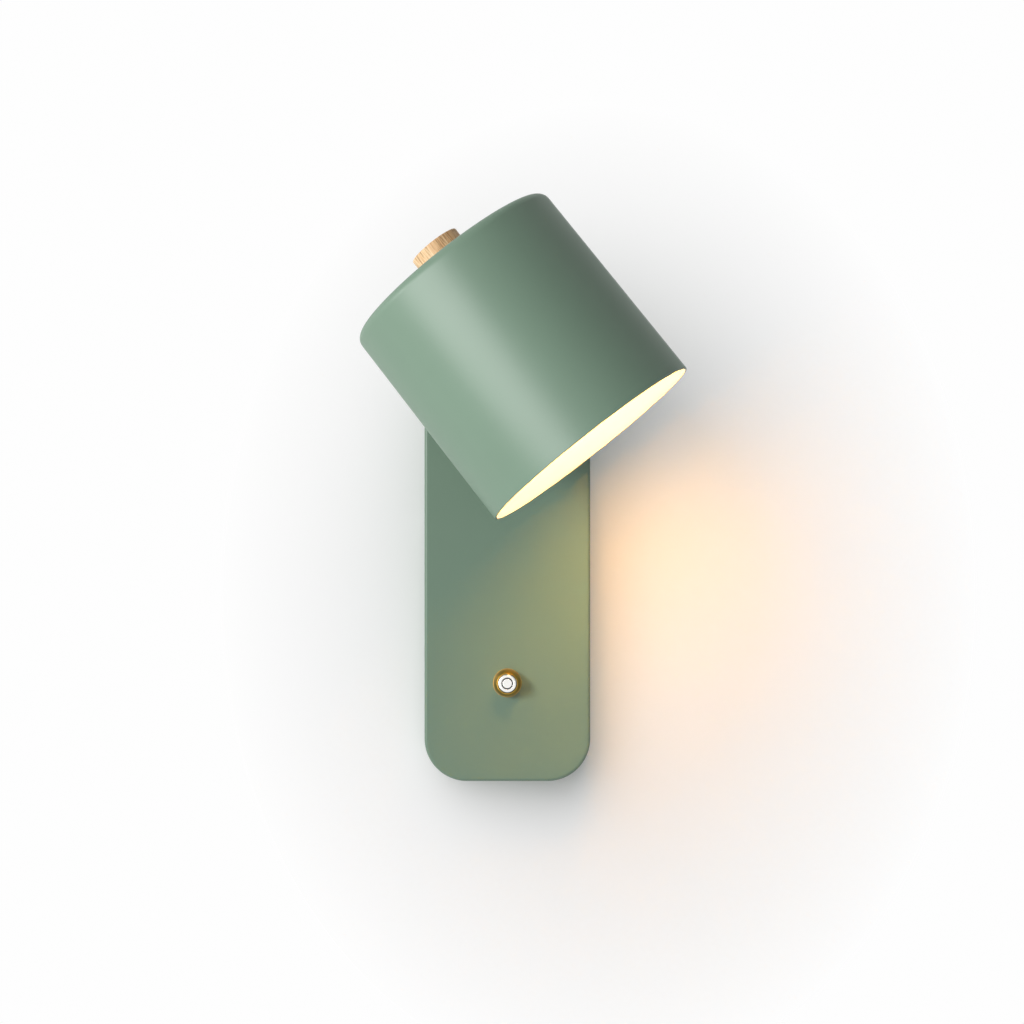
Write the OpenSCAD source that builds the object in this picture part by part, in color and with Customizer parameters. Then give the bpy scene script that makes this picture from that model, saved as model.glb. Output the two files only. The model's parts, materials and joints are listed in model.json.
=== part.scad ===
// Bedside wall reading lamp with a drum shade on a two-way knuckle, and a switch in its back plate.
// The origin is the centre of the face that lies on the wall. X runs to the right, Y into the wall
// and Z up. Lengths are in millimetres and angles in degrees.

/* [Back plate] */
// Width of the back plate
plate_w = 80; // [74:1:100]
// Height of the back plate
plate_h = 250; // [236:1:300]
// Distance from the wall to the front of the back plate
plate_d = 24; // [23:0.5:30]
// Radius of the back plate's four corners
plate_corner_r = 20.5; // [10:0.5:30]
// Radius pressed round the front edge
plate_edge_r = 1.4; // [1.3:0.1:3]
// Sheet thickness of the back plate
plate_wall = 1.2; // [0.8:0.1:1.5]
// Swivel axis below the top of the back plate
swivel_from_top = 41; // [38:0.5:46]
// Switch axis above the bottom of the back plate
switch_from_bottom = 47.5; // [30:0.5:48]

/* [Wall bracket] */
// Width of the bracket
bracket_w = 50; // [46:1:56]
// Height of the bracket
bracket_h = 130; // [124:1:132]
// Sheet thickness of the bracket
bracket_t = 1.5; // [1.2:0.1:2]
// Distance between the two wall screw slots
slot_pitch = 70; // [66:1:76]
// Length of each slot
slot_len = 20; // [14:1:22]
// Width of each slot
slot_w = 5; // [4:0.1:6]
// Cable entry above the centre
entry_up = 12; // [11:0.5:13]
// Bore of the grommet in the cable entry
entry_bore = 9; // [6:0.5:10]

/* [Knuckle] */
// Distance from the back plate's front to the tilt axis
pivot_reach = 17; // [16.5:0.5:22]
// Distance from the tilt axis to the shade's side
foot_reach = 15; // [14:0.5:20]
// Diameter of the swivel journal
journal_d = 10; // [9:0.1:10.4]
// Bore that the wires pass through
wire_bore_d = 6; // [5.6:0.1:6.4]
// Width of the tongue between the fork's ears
tongue_w = 12; // [11:0.1:12.4]
// Whole turn of the swivel between its stops
swivel_swing = 330; // [270:5:330]
// Tilt of the mouth away from the wall, measured from parallel
tilt_out = 30; // [20:1:35]
// Tilt of the mouth towards the wall, measured from parallel
tilt_in = 20; // [10:1:20]

/* [Pose] */
// Swivel from mouth down, positive to the left
swivel_deg = -38.15; // [-130:0.05:130]
// Tilt from parallel, negative with the mouth towards the viewer
tilt_deg = -4.67; // [-20:0.01:10]

/* [Shade] */
// Outer diameter at the mouth
mouth_d = 110; // [104:0.5:116]
// Outer diameter at the top
top_d = 108; // [100:0.5:112]
// Length of the shade
shade_l = 104; // [102:0.5:112]
// Sheet thickness of the shade
shade_wall = 1.1; // [0.8:0.1:1.5]
// Radius of the shade's top edge
shade_edge_r = 4.5; // [3:0.25:8]
// Distance from the mouth to the foot's axis
foot_to_mouth = 67.5; // [66:0.5:72]

/* [Knob] */
// Diameter of the wooden knob where it meets the shade
knob_d = 24.5; // [22:0.5:28]
// Diameter of the wooden knob at its outer face
knob_tip_d = 24; // [20:0.5:28]
// Height of the wooden knob
knob_h = 11; // [10:0.5:14]

/* [Lampholder and bulb] */
// Outer diameter of the lampholder
holder_d = 40; // [39:0.5:44]
// Length of the lampholder
holder_l = 43; // [42:0.5:45]
// Diameter of the bulb's globe
globe_d = 45; // [44:0.5:46]

/* [Switch] */
// Diameter of the collar on the back plate
collar_d = 13.8; // [13.4:0.1:16]
// Height of the collar
collar_h = 7; // [5:0.5:9]
// Diameter of the push button
button_d = 8.7; // [8:0.1:8.8]
// Height of the button above its collar
button_proud = 3; // [2.8:0.1:4]
// Travel of the button
button_travel = 2.5; // [1.5:0.1:2.6]

/* [Hidden] */
$fn = 64;
hull_fn = 40;
seat_fn = 240;
lead_sides = 6;
// Overrun of every cut past the face that it opens
over = 1;
// Gap between a pin or screw and the hole that holds it
fit_gap = 0.05;
// Gap of a shaft that turns or slides in its bore
run_gap = 0.06;
// Gap between pieces that lie loosely side by side
side_gap = 0.3;
// Room left below the button when it is pressed home
press_gap = 0.5;

// Places along the wall and out from it
inner_front = plate_d - plate_wall;
swivel_z = plate_h / 2 - swivel_from_top;
switch_z = switch_from_bottom - plate_h / 2;

// Screws through the tray's sides into the bracket's tabs
cover_screw_r = 1.5;
cover_screw_len = 7;
cover_screw_out = 8;
cover_head_r = cover_screw_r + plate_wall;
slot_share = 0.3;
tab_w = 16;
tab_out = 13;
tab_x = plate_w / 2 - plate_wall - side_gap;
bracket_corner_r = 4;

// Grommet
grommet_wall = 2;
grommet_lip = 2.4;
grommet_lip_t = 2;
grommet_r = entry_bore / 2 + grommet_wall;

// Terminal block
way_pitch = 9;
way_count = 3;
block_h = 15;
block_d = 12;
block_z = -12;
tube_out = 4.5;
tube_r = 2.3;
tube_bore_r = 1.3;
tube_len = 13;
clamp_screw_r = 1.4;
clamp_screw_pitch = 7;
clamp_screw_sunk = 1;
fixing_screw_r = 1.25;
fixing_head_r = 2;
fixing_head_h = 1.5;
fixing_sunk = 4;

// Earth screw
earth_x = 16;
earth_z = -54;
earth_screw_r = 2;
earth_washer_r = 4.5;
earth_washer_t = 0.8;
earth_head_r = 3.5;
earth_head_h = 2.4;

// Fixed half of the swivel
base_flange_r = 14;
base_flange_t = 4;
base_chamfer = 0.8;
base_shank_r = 8;
base_shank_in = 10;
base_washer_r = 13;
base_washer_t = 1;
base_nut_flats = 22;
base_nut_t = 4.5;
pin_r = 1.25;
pin_place_r = 9.5;
pin_sunk = 2;
pin_tip_gap = 0.4;
stop_gap = 0.1;

// Turning half of the swivel
journal_r = journal_d / 2;
wire_bore_r = wire_bore_d / 2;
friction_t = 0.8;
friction_wall = 2.4;
post_flange_r = 12.5;
post_flange_t = 4.2;
groove_in_r = pin_place_r - pin_r - side_gap;
groove_out_r = pin_place_r + pin_r + side_gap;
groove_depth = 2.2;
thrust_t = 0.8;
thrust_wall = 3.4;
circlip_t = 1;
circlip_wall = 2.4;
circlip_depth = 0.7;
circlip_mouth = 4;
journal_tail = 2;
ear_r = 7;
ear_t = 3.5;
ear_root = 1;
pivot_washer_t = 0.6;
pivot_washer_r = 6;
pivot_screw_r = 2;
pivot_head_r = 3.75;
pivot_head_h = 2.2;
pivot_head_chamfer = 0.6;
pivot_end_gap = 0.6;
ear_in = tongue_w / 2 + pivot_washer_t;
ear_out = ear_in + ear_t;
base_front = plate_d + base_flange_t;
base_tail = plate_d - base_shank_in;
post_back = base_front + friction_t;
post_front = post_back + post_flange_t;
thrust_low = base_tail - thrust_t;
circlip_low = thrust_low - fit_gap - circlip_t;
journal_low = circlip_low - journal_tail;
pivot_out = plate_d + pivot_reach;
// The stop tooth leaves the pin this much turn at each side
pin_angle = asin((pin_r + stop_gap) / pin_place_r);
tooth_angle = 360 - swivel_swing - 2 * pin_angle;

// Tongue, whose heel meets the post's flange at both ends of the tilt
heel_gap = 0.15;
heel_r = pivot_out - post_front - heel_gap;
heel_top = heel_r * (1 - sin(tilt_out)) / cos(tilt_out);
heel_bottom = heel_r * (1 - sin(tilt_in)) / cos(tilt_in);
foot_r = 10;
foot_t = 5;
stem_r = 5;
saddle_gap = 0.05;
flare_r = 5;
flare_start = 3;
flare_run = (flare_r - wire_bore_r) / (heel_r - flare_start);
heel_steps = 12;
saddle_washer_t = 2.5;
shade_nut_flats = 14;
shade_nut_t = 4;
stem_end_past = 1.4;
stem_washer_out = foot_reach + shade_wall + saddle_washer_t;
stem_end = stem_washer_out + shade_nut_t + stem_end_past;

// Shade, measured along its axis from the foot
mouth_z = -foot_to_mouth;
top_z = shade_l - foot_to_mouth;
shade_slope = atan((mouth_d - top_d) / 2 / shade_l);
shade_run = (mouth_d - top_d) / 2 / shade_l;
foot_shade_r = top_d / 2 + shade_run * top_z;
axis_out = foot_reach + foot_shade_r;
shade_skin = shade_wall / cos(shade_slope);
edge_steps = 6;

// Lampholder, from the shade's top down
top_hole_r = stem_r + fit_gap;
tag_t = 0.8;
tag_r = 9;
tag_ear = 14;
tag_ear_w = 5;
cap_top = top_z - shade_wall - tag_t;
collar_r = 8;
cap_collar_h = 3;
cap_wall = 2;
cap_shoulder_h = 7;
cap_skirt_h = 18.6;
cap_bore_h = 4.4;
cap_entry_r = 2.4;
cap_entry_down = 10;
holder_r = holder_d / 2;
holder_end = cap_top - holder_l;
body_wall = 2.2;
body_lip_r = 14.5;
body_lip_t = 2;
spigot_h = 2.1;
spigot_wall = 2.9;
skirt_end = cap_top - cap_skirt_h;
core_low = skirt_end + spigot_h;
core_t = 4.5;
sleeve_r = 13.8;
sleeve_wall = 0.5;
sleeve_short = 2.4;
contact_r = 4;
contact_t = 1;
holder_terminal = [4, 6, 3];
holder_terminal_x = 7;
nipple_low = cap_top - 5.6;
nipple_up = 6.5;

// Bulb, measured down from its cap's top
bulb_cap_r = 13;
bulb_cap_l = 24;
bulb_cap_shoulder = 5;
bulb_cap_neck_r = 6;
bulb_cap_wall = 0.6;
bulb_tip_r = 4.5;
bulb_tip_h = 2.4;
bulb_housing_l = 17;
bulb_joint_r = 20;
globe_wall = 1;
globe_r = globe_d / 2;
bulb_top = core_low - contact_t - bulb_tip_h;
housing_top = bulb_top - bulb_cap_l;
housing_end = housing_top - bulb_housing_l;
globe_down = sqrt(globe_r * globe_r - bulb_joint_r * bulb_joint_r);
housing_steps = 6;

// Knob and its threaded insert
insert_r = 6.5;
insert_l = 7;
insert_end_gap = 1;
knob_edge_r = 1;
knob_steps = 4;

// Switch, measured from the back plate's front
bezel_shank_r = 6;
bezel_shank_l = 8;
bezel_rim_h = 1;
bezel_tip_wall = 0.7;
bezel_step_l = 4;
bezel_step_wall = 1.1;
switch_washer_r = 9;
switch_washer_t = 1;
switch_nut_flats = 14;
switch_nut_t = 2.5;
switch_body_w = 16;
switch_body_l = 10;
switch_recess_r = 5.2;
spring_well_r = 4.3;
spring_well_l = 5;
tag_blade = [4.8, 0.8];
tag_blade_l = 3;
tag_blade_x = 4;
shoulder_l = 2.5;
plunger_r = 1.6;
plunger_l = 5.5;
button_groove_r = 2.75;
button_groove_w = 0.45;
button_groove_depth = 0.4;
button_edge = 0.5;
spring_r = 3;
spring_wire_r = 0.3;
spring_turns = 5;
spring_steps = 12;
switch_recess_l = button_travel + press_gap;
button_r = button_d / 2;
button_bore_r = button_r + run_gap;
shoulder_r = bezel_shank_r - bezel_step_wall - run_gap;
shoulder_top = plate_d - bezel_step_l;
shoulder_low = shoulder_top - shoulder_l;
body_front = plate_d - bezel_shank_l;
body_back = body_front - switch_body_l;
spring_floor = body_front - switch_recess_l - spring_well_l;
button_top = plate_d + collar_h + button_proud;

// Wires
lead_r = 0.9;
bundle_r = wire_bore_r - lead_r - 0.2 * lead_r;
lead_gap = 0.3;

// Pieces are tinted as they show
sage = [0.44, 0.53, 0.46];
brass = [0.72, 0.55, 0.25];
bright = [0.92, 0.91, 0.89];
zinc = [0.72, 0.73, 0.74];
white_plastic = [0.93, 0.93, 0.91];
black_plastic = [0.12, 0.12, 0.12];
ash_wood = [0.85, 0.69, 0.47];

// Frames: local z points away from the wall, local y up
module out_from_wall(x = 0, z = 0) translate([x, 0, z]) rotate([90, 0, 0]) children();
module at_switch() out_from_wall(0, switch_z) children();
module at_base() out_from_wall(0, swivel_z) children();

// The turning half keeps the row's axes, with its origin on the swivel axis at the wall
module in_swivel() translate([0, 0, swivel_z]) rotate([0, swivel_deg, 0]) children();
module turned_in_swivel() in_swivel() rotate([90, 0, 0]) children();

// The head has its origin on the tilt axis, and its shade hangs mouth down in front of it
module in_head() in_swivel() translate([0, -pivot_out, 0]) rotate([tilt_deg, 0, 0]) children();
module turned_in_head() in_head() rotate([90, 0, 0]) children();
module on_shade_axis() in_head() translate([0, -axis_out, 0]) children();

// A profile drawn with x away from the wall and y up, given thickness along X
module side_profile(t) rotate([90, 0, -90]) linear_extrude(t, center = true) children();

// Common forms
module ring(r_out, r_in, low, high) translate([0, 0, low]) difference() {
    cylinder(r = r_out, h = high - low);
    translate([0, 0, -over]) cylinder(r = r_in, h = high - low + 2 * over);
}

module hex_nut(flats, bore_r, low, high) translate([0, 0, low]) difference() {
    cylinder(r = flats / 2 / cos(30), h = high - low, $fn = 6);
    translate([0, 0, -over]) cylinder(r = bore_r, h = high - low + 2 * over);
}

module turned(points) rotate_extrude() polygon(points);

module rounded_rect(w, h, r) {
    square([w - 2 * r, h], center = true);
    square([w, h - 2 * r], center = true);
    for (x = [-1, 1], y = [-1, 1])
        translate([x * (w / 2 - r), y * (h / 2 - r)]) circle(r);
}

// Slot for a flat screwdriver, cut down from the height top
module driver_slot(head_r, top) translate([0, 0, top])
    cube([2 * head_r + over, slot_share * head_r, slot_share * 2 * head_r], center = true);

function unit(v) = v / norm(v);

// A bent line with its corners cut off again and again, which stays inside its own outline
function softened(p, times) = times == 0 ? p : softened([
    p[0],
    for (i = [0 : len(p) - 2]) each [0.75 * p[i] + 0.25 * p[i + 1], 0.25 * p[i] + 0.75 * p[i + 1]],
    p[len(p) - 1]
], times - 1);

// Directions along a path, and normals carried along it without twist
function headings(p) = [
    for (i = [0 : len(p) - 1]) unit(p[min(i + 1, len(p) - 1)] - p[max(i - 1, 0)])
];
function square_to(n, t) = unit(n - (n * t) * t);
function carried(t, seed) = [
    for (i = 0, n = square_to(seed, t[0]); i < len(t);
        i = i + 1, n = square_to(n, t[min(i, len(t) - 1)])) n
];

// A round wire swept along a path as one closed solid
module wire(path, r, sides = lead_sides, seed = [1, 0.3, 0.2]) {
    t = headings(path);
    n = carried(t, seed);
    last = len(path) - 1;
    points = [
        for (i = [0 : last], k = [0 : sides - 1])
            path[i] + r * (cos(360 * k / sides) * n[i] + sin(360 * k / sides) * cross(t[i], n[i]))
    ];
    walls = [
        for (i = [0 : last - 1], k = [0 : sides - 1])
            let (a = i * sides + k, b = i * sides + (k + 1) % sides)
            each [[a, a + sides, b], [b, a + sides, b + sides]]
    ];
    low_end = [for (k = [1 : sides - 2]) [0, k, k + 1]];
    high_end = [for (k = [1 : sides - 2]) [last * sides, last * sides + k + 1, last * sides + k]];
    polyhedron(points, concat(walls, low_end, high_end));
}

// Back plate: a pressed tray, open at the wall
module cover_form() hull() {
    cover_slice(0, 0, plate_d - plate_edge_r);
    for (a = [30 : 30 : 90])
        cover_slice(plate_edge_r * (1 - cos(a)), plate_d - plate_edge_r, plate_edge_r * sin(a));
}

module cover_slice(inset, low, h) for (x = [-1, 1], y = [-1, 1])
    translate([x * (plate_w / 2 - plate_corner_r), y * (plate_h / 2 - plate_corner_r), low])
    cylinder(r = plate_corner_r - inset, h = h, $fn = hull_fn);

module at_cover_screws() for (s = [-1, 1])
    translate([s * plate_w / 2, -cover_screw_out, 0]) rotate([0, -90 * s, 0]) children();

module front_cover() color(sage) difference() {
    out_from_wall() cover_form();
    out_from_wall() translate([0, 0, -over]) linear_extrude(inner_front + over)
        rounded_rect(plate_w - 2 * plate_wall, plate_h - 2 * plate_wall,
            plate_corner_r - plate_wall);
    at_base() translate([0, 0, inner_front - over])
        cylinder(r = base_shank_r + fit_gap, h = plate_wall + 2 * over);
    at_switch() translate([0, 0, inner_front - over])
        cylinder(r = bezel_shank_r + fit_gap, h = plate_wall + 2 * over);
    at_cover_screws() {
        translate([0, 0, -over]) cylinder(r = cover_screw_r + fit_gap, h = plate_wall + 2 * over);
        cylinder(r1 = cover_head_r + fit_gap, r2 = cover_screw_r + fit_gap, h = plate_wall);
        translate([0, 0, -over]) cylinder(r = cover_head_r + fit_gap, h = over);
    }
}

module cover_screws() color(zinc) at_cover_screws() difference() {
    union() {
        cylinder(r1 = cover_head_r, r2 = cover_screw_r, h = plate_wall);
        cylinder(r = cover_screw_r, h = cover_screw_len);
    }
    driver_slot(cover_head_r, 0);
}

// Bracket: a flat strap on the wall with two arms, each bent out into a tapped tab
module at_slots() for (s = [-1, 1]) out_from_wall(0, s * slot_pitch / 2) children();

module wall_bracket() color(zinc) difference() {
    union() {
        out_from_wall() linear_extrude(bracket_t)
            rounded_rect(bracket_w, bracket_h, bracket_corner_r);
        for (s = [-1, 1]) {
            translate([min(s * tab_x, 0), -bracket_t, -tab_w / 2]) cube([tab_x, bracket_t, tab_w]);
            translate([s * (tab_x - bracket_t / 2), -tab_out / 2, 0])
                cube([bracket_t, tab_out, tab_w], center = true);
        }
    }
    at_slots() translate([0, 0, -over]) linear_extrude(bracket_t + 2 * over) {
        square([slot_w, slot_len - slot_w], center = true);
        for (s = [-1, 1]) translate([0, s * (slot_len - slot_w) / 2]) circle(d = slot_w);
    }
    out_from_wall(0, entry_up) translate([0, 0, -over])
        cylinder(r = grommet_r + fit_gap, h = bracket_t + 2 * over);
    out_from_wall(way_pitch / 2, block_z) translate([0, 0, -over])
        cylinder(r = fixing_screw_r + fit_gap, h = bracket_t + 2 * over);
    out_from_wall(earth_x, earth_z) translate([0, 0, -over])
        cylinder(r = earth_screw_r + fit_gap, h = bracket_t + 2 * over);
    at_cover_screws() cylinder(r = cover_screw_r + fit_gap, h = cover_screw_len + over);
}

module cable_grommet() color(black_plastic) out_from_wall(0, entry_up) turned([
    [entry_bore / 2, 0], [grommet_r, 0], [grommet_r, bracket_t],
    [grommet_r + grommet_lip, bracket_t], [grommet_r + grommet_lip, bracket_t + grommet_lip_t / 2],
    [grommet_r + grommet_lip / 2, bracket_t + grommet_lip_t],
    [entry_bore / 2, bracket_t + grommet_lip_t]
]);

// Terminal block: three brass tubes in a plastic body, two clamping screws to each
block_w = way_count * way_pitch;
block_top = bracket_t + block_d;
tube_axis = bracket_t + tube_out;
module at_ways() for (i = [0 : way_count - 1])
    out_from_wall((i - (way_count - 1) / 2) * way_pitch, block_z) children();
module at_clamp_screws() at_ways() for (s = [-1, 1])
    translate([0, s * clamp_screw_pitch / 2, 0]) children();
module tube_form(r, l) translate([0, 0, tube_axis]) rotate([90, 0, 0])
    cylinder(r = r, h = l, center = true);

module terminal_block() color(white_plastic) difference() {
    out_from_wall(0, block_z) translate([-block_w / 2, -block_h / 2, bracket_t])
        cube([block_w, block_h, block_d]);
    at_ways() tube_form(tube_r + fit_gap, block_h + 2 * over);
    at_clamp_screws() translate([0, 0, tube_axis])
        cylinder(r = clamp_screw_r + fit_gap, h = block_d);
    out_from_wall(way_pitch / 2, block_z) {
        cylinder(r = fixing_screw_r + fit_gap, h = block_top + over);
        translate([0, 0, block_top - fixing_sunk]) cylinder(r = fixing_head_r + fit_gap,
            h = fixing_sunk + over);
    }
}

module terminal_tubes() color(brass) difference() {
    at_ways() tube_form(tube_r, tube_len);
    at_ways() tube_form(tube_bore_r, tube_len + 2 * over);
    at_clamp_screws() translate([0, 0, tube_axis]) cylinder(r = clamp_screw_r + fit_gap,
        h = block_d);
}

module terminal_screws() color(zinc) at_clamp_screws() difference() {
    translate([0, 0, tube_axis + lead_r + fit_gap])
        cylinder(r = clamp_screw_r, h = block_d - tube_out - lead_r - fit_gap - clamp_screw_sunk);
    driver_slot(clamp_screw_r, block_top - clamp_screw_sunk);
}

module block_screw() color(zinc) out_from_wall(way_pitch / 2, block_z) difference() {
    union() {
        translate([0, 0, fit_gap])
            cylinder(r = fixing_screw_r, h = block_top - fixing_sunk - fit_gap);
        translate([0, 0, block_top - fixing_sunk])
            cylinder(r = fixing_head_r, h = fixing_head_h);
    }
    driver_slot(fixing_head_r, block_top - fixing_sunk + fixing_head_h);
}

module earth_screw() color(brass) out_from_wall(earth_x, earth_z) difference() {
    union() {
        translate([0, 0, fit_gap]) cylinder(r = earth_screw_r, h = bracket_t);
        translate([0, 0, bracket_t]) cylinder(r = earth_washer_r, h = earth_washer_t);
        translate([0, 0, bracket_t + earth_washer_t])
            cylinder(r = earth_head_r, h = earth_head_h);
    }
    driver_slot(earth_head_r, bracket_t + earth_washer_t + earth_head_h);
}

// Switch: a domed collar clamped through the plate, a button in it and a sprung body behind
bezel_tip_r = button_bore_r + bezel_tip_wall;
module switch_bezel() color(brass) at_switch() difference() {
    turned([
        [0, body_front], [bezel_shank_r, body_front], [bezel_shank_r, plate_d],
        [collar_d / 2, plate_d], [collar_d / 2, plate_d + bezel_rim_h],
        for (a = [15 : 15 : 90])
            [bezel_tip_r + (collar_d / 2 - bezel_tip_r) * cos(a),
                plate_d + bezel_rim_h + (collar_h - bezel_rim_h) * sin(a)],
        [0, plate_d + collar_h]
    ]);
    translate([0, 0, body_front - over])
        cylinder(r = button_bore_r, h = bezel_shank_l + collar_h + 2 * over);
    translate([0, 0, body_front - over])
        cylinder(r = shoulder_r + run_gap, h = shoulder_top - body_front + over);
}

module switch_washer() color(zinc) at_switch()
    ring(switch_washer_r, bezel_shank_r + fit_gap, inner_front - switch_washer_t, inner_front);

module switch_nut() color(brass) at_switch()
    hex_nut(switch_nut_flats, bezel_shank_r + fit_gap,
        inner_front - switch_washer_t - switch_nut_t, inner_front - switch_washer_t);

module switch_body() color(black_plastic) at_switch() difference() {
    translate([-switch_body_w / 2, -switch_body_w / 2, body_back])
        cube([switch_body_w, switch_body_w, switch_body_l]);
    translate([0, 0, body_front - switch_recess_l])
        cylinder(r = switch_recess_r, h = switch_recess_l + over);
    translate([0, 0, spring_floor]) cylinder(r = spring_well_r, h = switch_body_l);
}

module switch_tags() color(brass) at_switch() for (s = [-1, 1])
    translate([s * tag_blade_x - tag_blade[1] / 2, -tag_blade[0] / 2, body_back - tag_blade_l])
    cube([tag_blade[1], tag_blade[0], tag_blade_l]);

// Compression spring round the plunger, a true helix
module switch_spring() color(zinc) at_switch() {
    low = spring_floor + spring_wire_r + fit_gap;
    rise = shoulder_low - fit_gap - spring_wire_r - low;
    count = spring_turns * spring_steps;
    wire([
        for (i = [0 : count])
            [spring_r * cos(360 * i / spring_steps), spring_r * sin(360 * i / spring_steps),
                low + rise * i / count]
    ], spring_wire_r, 4, [0, 0, 1]);
}

module switch_button() color(bright) at_switch() difference() {
    union() {
        turned([
            [0, shoulder_low], [shoulder_r, shoulder_low], [shoulder_r, shoulder_top - fit_gap],
            [button_r, shoulder_top - fit_gap], [button_r, button_top - button_edge],
            [button_r - button_edge, button_top], [0, button_top]
        ]);
        translate([0, 0, shoulder_low - plunger_l]) cylinder(r = plunger_r, h = plunger_l + over);
    }
    ring(button_groove_r, button_groove_r - button_groove_w,
        button_top - button_groove_depth, button_top + over);
}

// Swivel base: flange on the plate, threaded shank through it, bore for the journal
module at_stop_pin() at_base() translate([0, -pin_place_r, 0]) children();

module swivel_base() color(brass) difference() {
    at_base() turned([
        [journal_r + run_gap, base_tail], [base_shank_r, base_tail], [base_shank_r, plate_d],
        [base_flange_r, plate_d], [base_flange_r, base_front - base_chamfer],
        [base_flange_r - base_chamfer, base_front], [journal_r + run_gap, base_front]
    ]);
    at_stop_pin() translate([0, 0, base_front - pin_sunk])
        cylinder(r = pin_r + fit_gap, h = pin_sunk + over);
}

module base_washer() color(zinc) at_base()
    ring(base_washer_r, base_shank_r + fit_gap, inner_front - base_washer_t, inner_front);

module base_nut() color(brass) at_base()
    hex_nut(base_nut_flats, base_shank_r + fit_gap, inner_front - base_washer_t - base_nut_t,
        inner_front - base_washer_t);

module stop_pin() color(zinc) at_stop_pin() translate([0, 0, base_front - pin_sunk])
    cylinder(r = pin_r, h = pin_sunk + friction_t + groove_depth - pin_tip_gap);

// Swivel post: hollow journal, flange with the stop groove, and a fork of two ears
module ear_outline() {
    translate([pivot_out, 0]) circle(ear_r);
    translate([post_front - ear_root, -ear_r]) square([pivot_out - post_front + ear_root, 2 * ear_r]);
}

module swivel_post() color(brass) difference() {
    union() {
        turned_in_swivel() turned([
            [0, journal_low], [journal_r, journal_low], [journal_r, circlip_low],
            [journal_r - circlip_depth, circlip_low], [journal_r - circlip_depth, thrust_low],
            [journal_r, thrust_low], [journal_r, post_back], [post_flange_r, post_back],
            [post_flange_r, post_front - base_chamfer], [post_flange_r - base_chamfer, post_front],
            [0, post_front]
        ]);
        for (s = [-1, 1]) in_swivel() translate([s * (ear_in + ear_out) / 2, 0, 0])
            side_profile(ear_t) ear_outline();
    }
    turned_in_swivel() translate([0, 0, journal_low - over])
        cylinder(r = wire_bore_r, h = post_front - journal_low + 2 * over);
    turned_in_swivel() translate([0, 0, post_back - over]) rotate([0, 0, 90 + tooth_angle / 2])
        rotate_extrude(angle = 360 - tooth_angle)
        translate([groove_in_r, 0]) square([groove_out_r - groove_in_r, groove_depth + over]);
    in_swivel() translate([0, -pivot_out, 0]) rotate([0, 90, 0])
        cylinder(r = pivot_screw_r + fit_gap, h = 2 * (ear_out + over), center = true);
}

module friction_washer() color(black_plastic) turned_in_swivel()
    ring(journal_r + run_gap + friction_wall, journal_r + run_gap, base_front, post_back);

module thrust_washer() color(zinc) turned_in_swivel()
    ring(journal_r + run_gap + thrust_wall, journal_r + run_gap, thrust_low, base_tail);

module post_circlip() color(zinc) turned_in_swivel() difference() {
    ring(journal_r + circlip_wall, journal_r - circlip_depth + fit_gap, circlip_low + fit_gap,
        circlip_low + circlip_t);
    translate([0, journal_r, circlip_low])
        cube([circlip_mouth, 2 * journal_r, 4 * circlip_t], center = true);
}

// Pivot screws: one from each side, short enough to leave the wires their bore
module at_pivot_ends() for (s = [-1, 1])
    in_swivel() translate([s * ear_out, -pivot_out, 0]) rotate([0, 90 * s, 0]) children();

pivot_screw_l = ear_out - wire_bore_r - pivot_end_gap;
module pivot_screws() color(brass) at_pivot_ends() difference() {
    turned([
        [0, -pivot_screw_l], [pivot_screw_r, -pivot_screw_l], [pivot_screw_r, 0],
        [pivot_head_r, 0], [pivot_head_r, pivot_head_h - pivot_head_chamfer],
        [pivot_head_r - pivot_head_chamfer, pivot_head_h], [0, pivot_head_h]
    ]);
    driver_slot(pivot_head_r, pivot_head_h);
}

module pivot_washers() color(black_plastic) at_pivot_ends()
    ring(pivot_washer_r, pivot_screw_r + fit_gap, -ear_t - pivot_washer_t, -ear_t);

// Tongue: a heel with two flats that stop the tilt, a saddle foot and a hollow threaded stem
module tongue_outline() polygon([
    [foot_reach - foot_t, -heel_r], [foot_reach - foot_t, heel_r],
    [heel_top * sin(tilt_out) - heel_r * cos(tilt_out), heel_r],
    for (i = [0 : heel_steps]) let (a = 180 - tilt_out + (tilt_out + tilt_in) * i / heel_steps)
        [heel_r * cos(a), heel_r * sin(a)],
    [heel_bottom * sin(tilt_in) - heel_r * cos(tilt_in), -heel_r]
]);

// The shade's outer form, drawn past both ends and grown or shrunk by gap
module shade_cone(gap) translate([0, -axis_out, mouth_z - over])
    cylinder(r1 = mouth_d / 2 + shade_run * over + gap, r2 = top_d / 2 - shade_run * over + gap,
        h = shade_l + 2 * over, $fn = seat_fn);

module tilt_tongue() color(brass) in_head() difference() {
    union() {
        side_profile(tongue_w) tongue_outline();
        difference() {
            rotate([90, 0, 0]) translate([0, 0, foot_reach - foot_t])
                cylinder(r = foot_r, h = foot_t + foot_r);
            shade_cone(saddle_gap);
        }
        rotate([90, 0, 0]) translate([0, 0, foot_reach - foot_t])
            cylinder(r = stem_r, h = stem_end - foot_reach + foot_t);
    }
    rotate([90, 0, 0]) {
        translate([0, 0, -heel_r - over])
            cylinder(r = wire_bore_r, h = heel_r + stem_end + 2 * over);
        translate([0, 0, -heel_r - over])
            cylinder(r1 = flare_r + flare_run * over, r2 = wire_bore_r, h = heel_r - flare_start + over);
    }
    rotate([0, 90, 0])
        cylinder(r = pivot_screw_r + run_gap, h = tongue_w + 2 * over, center = true);
}

module saddle_washer() color(brass) in_head() intersection() {
    rotate([90, 0, 0]) ring(foot_r, stem_r + fit_gap, foot_reach - foot_t, stem_washer_out);
    shade_cone(-shade_skin - saddle_gap);
}

module shade_nut() color(brass) turned_in_head()
    hex_nut(shade_nut_flats, stem_r + fit_gap, stem_washer_out, stem_washer_out + shade_nut_t);

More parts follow.
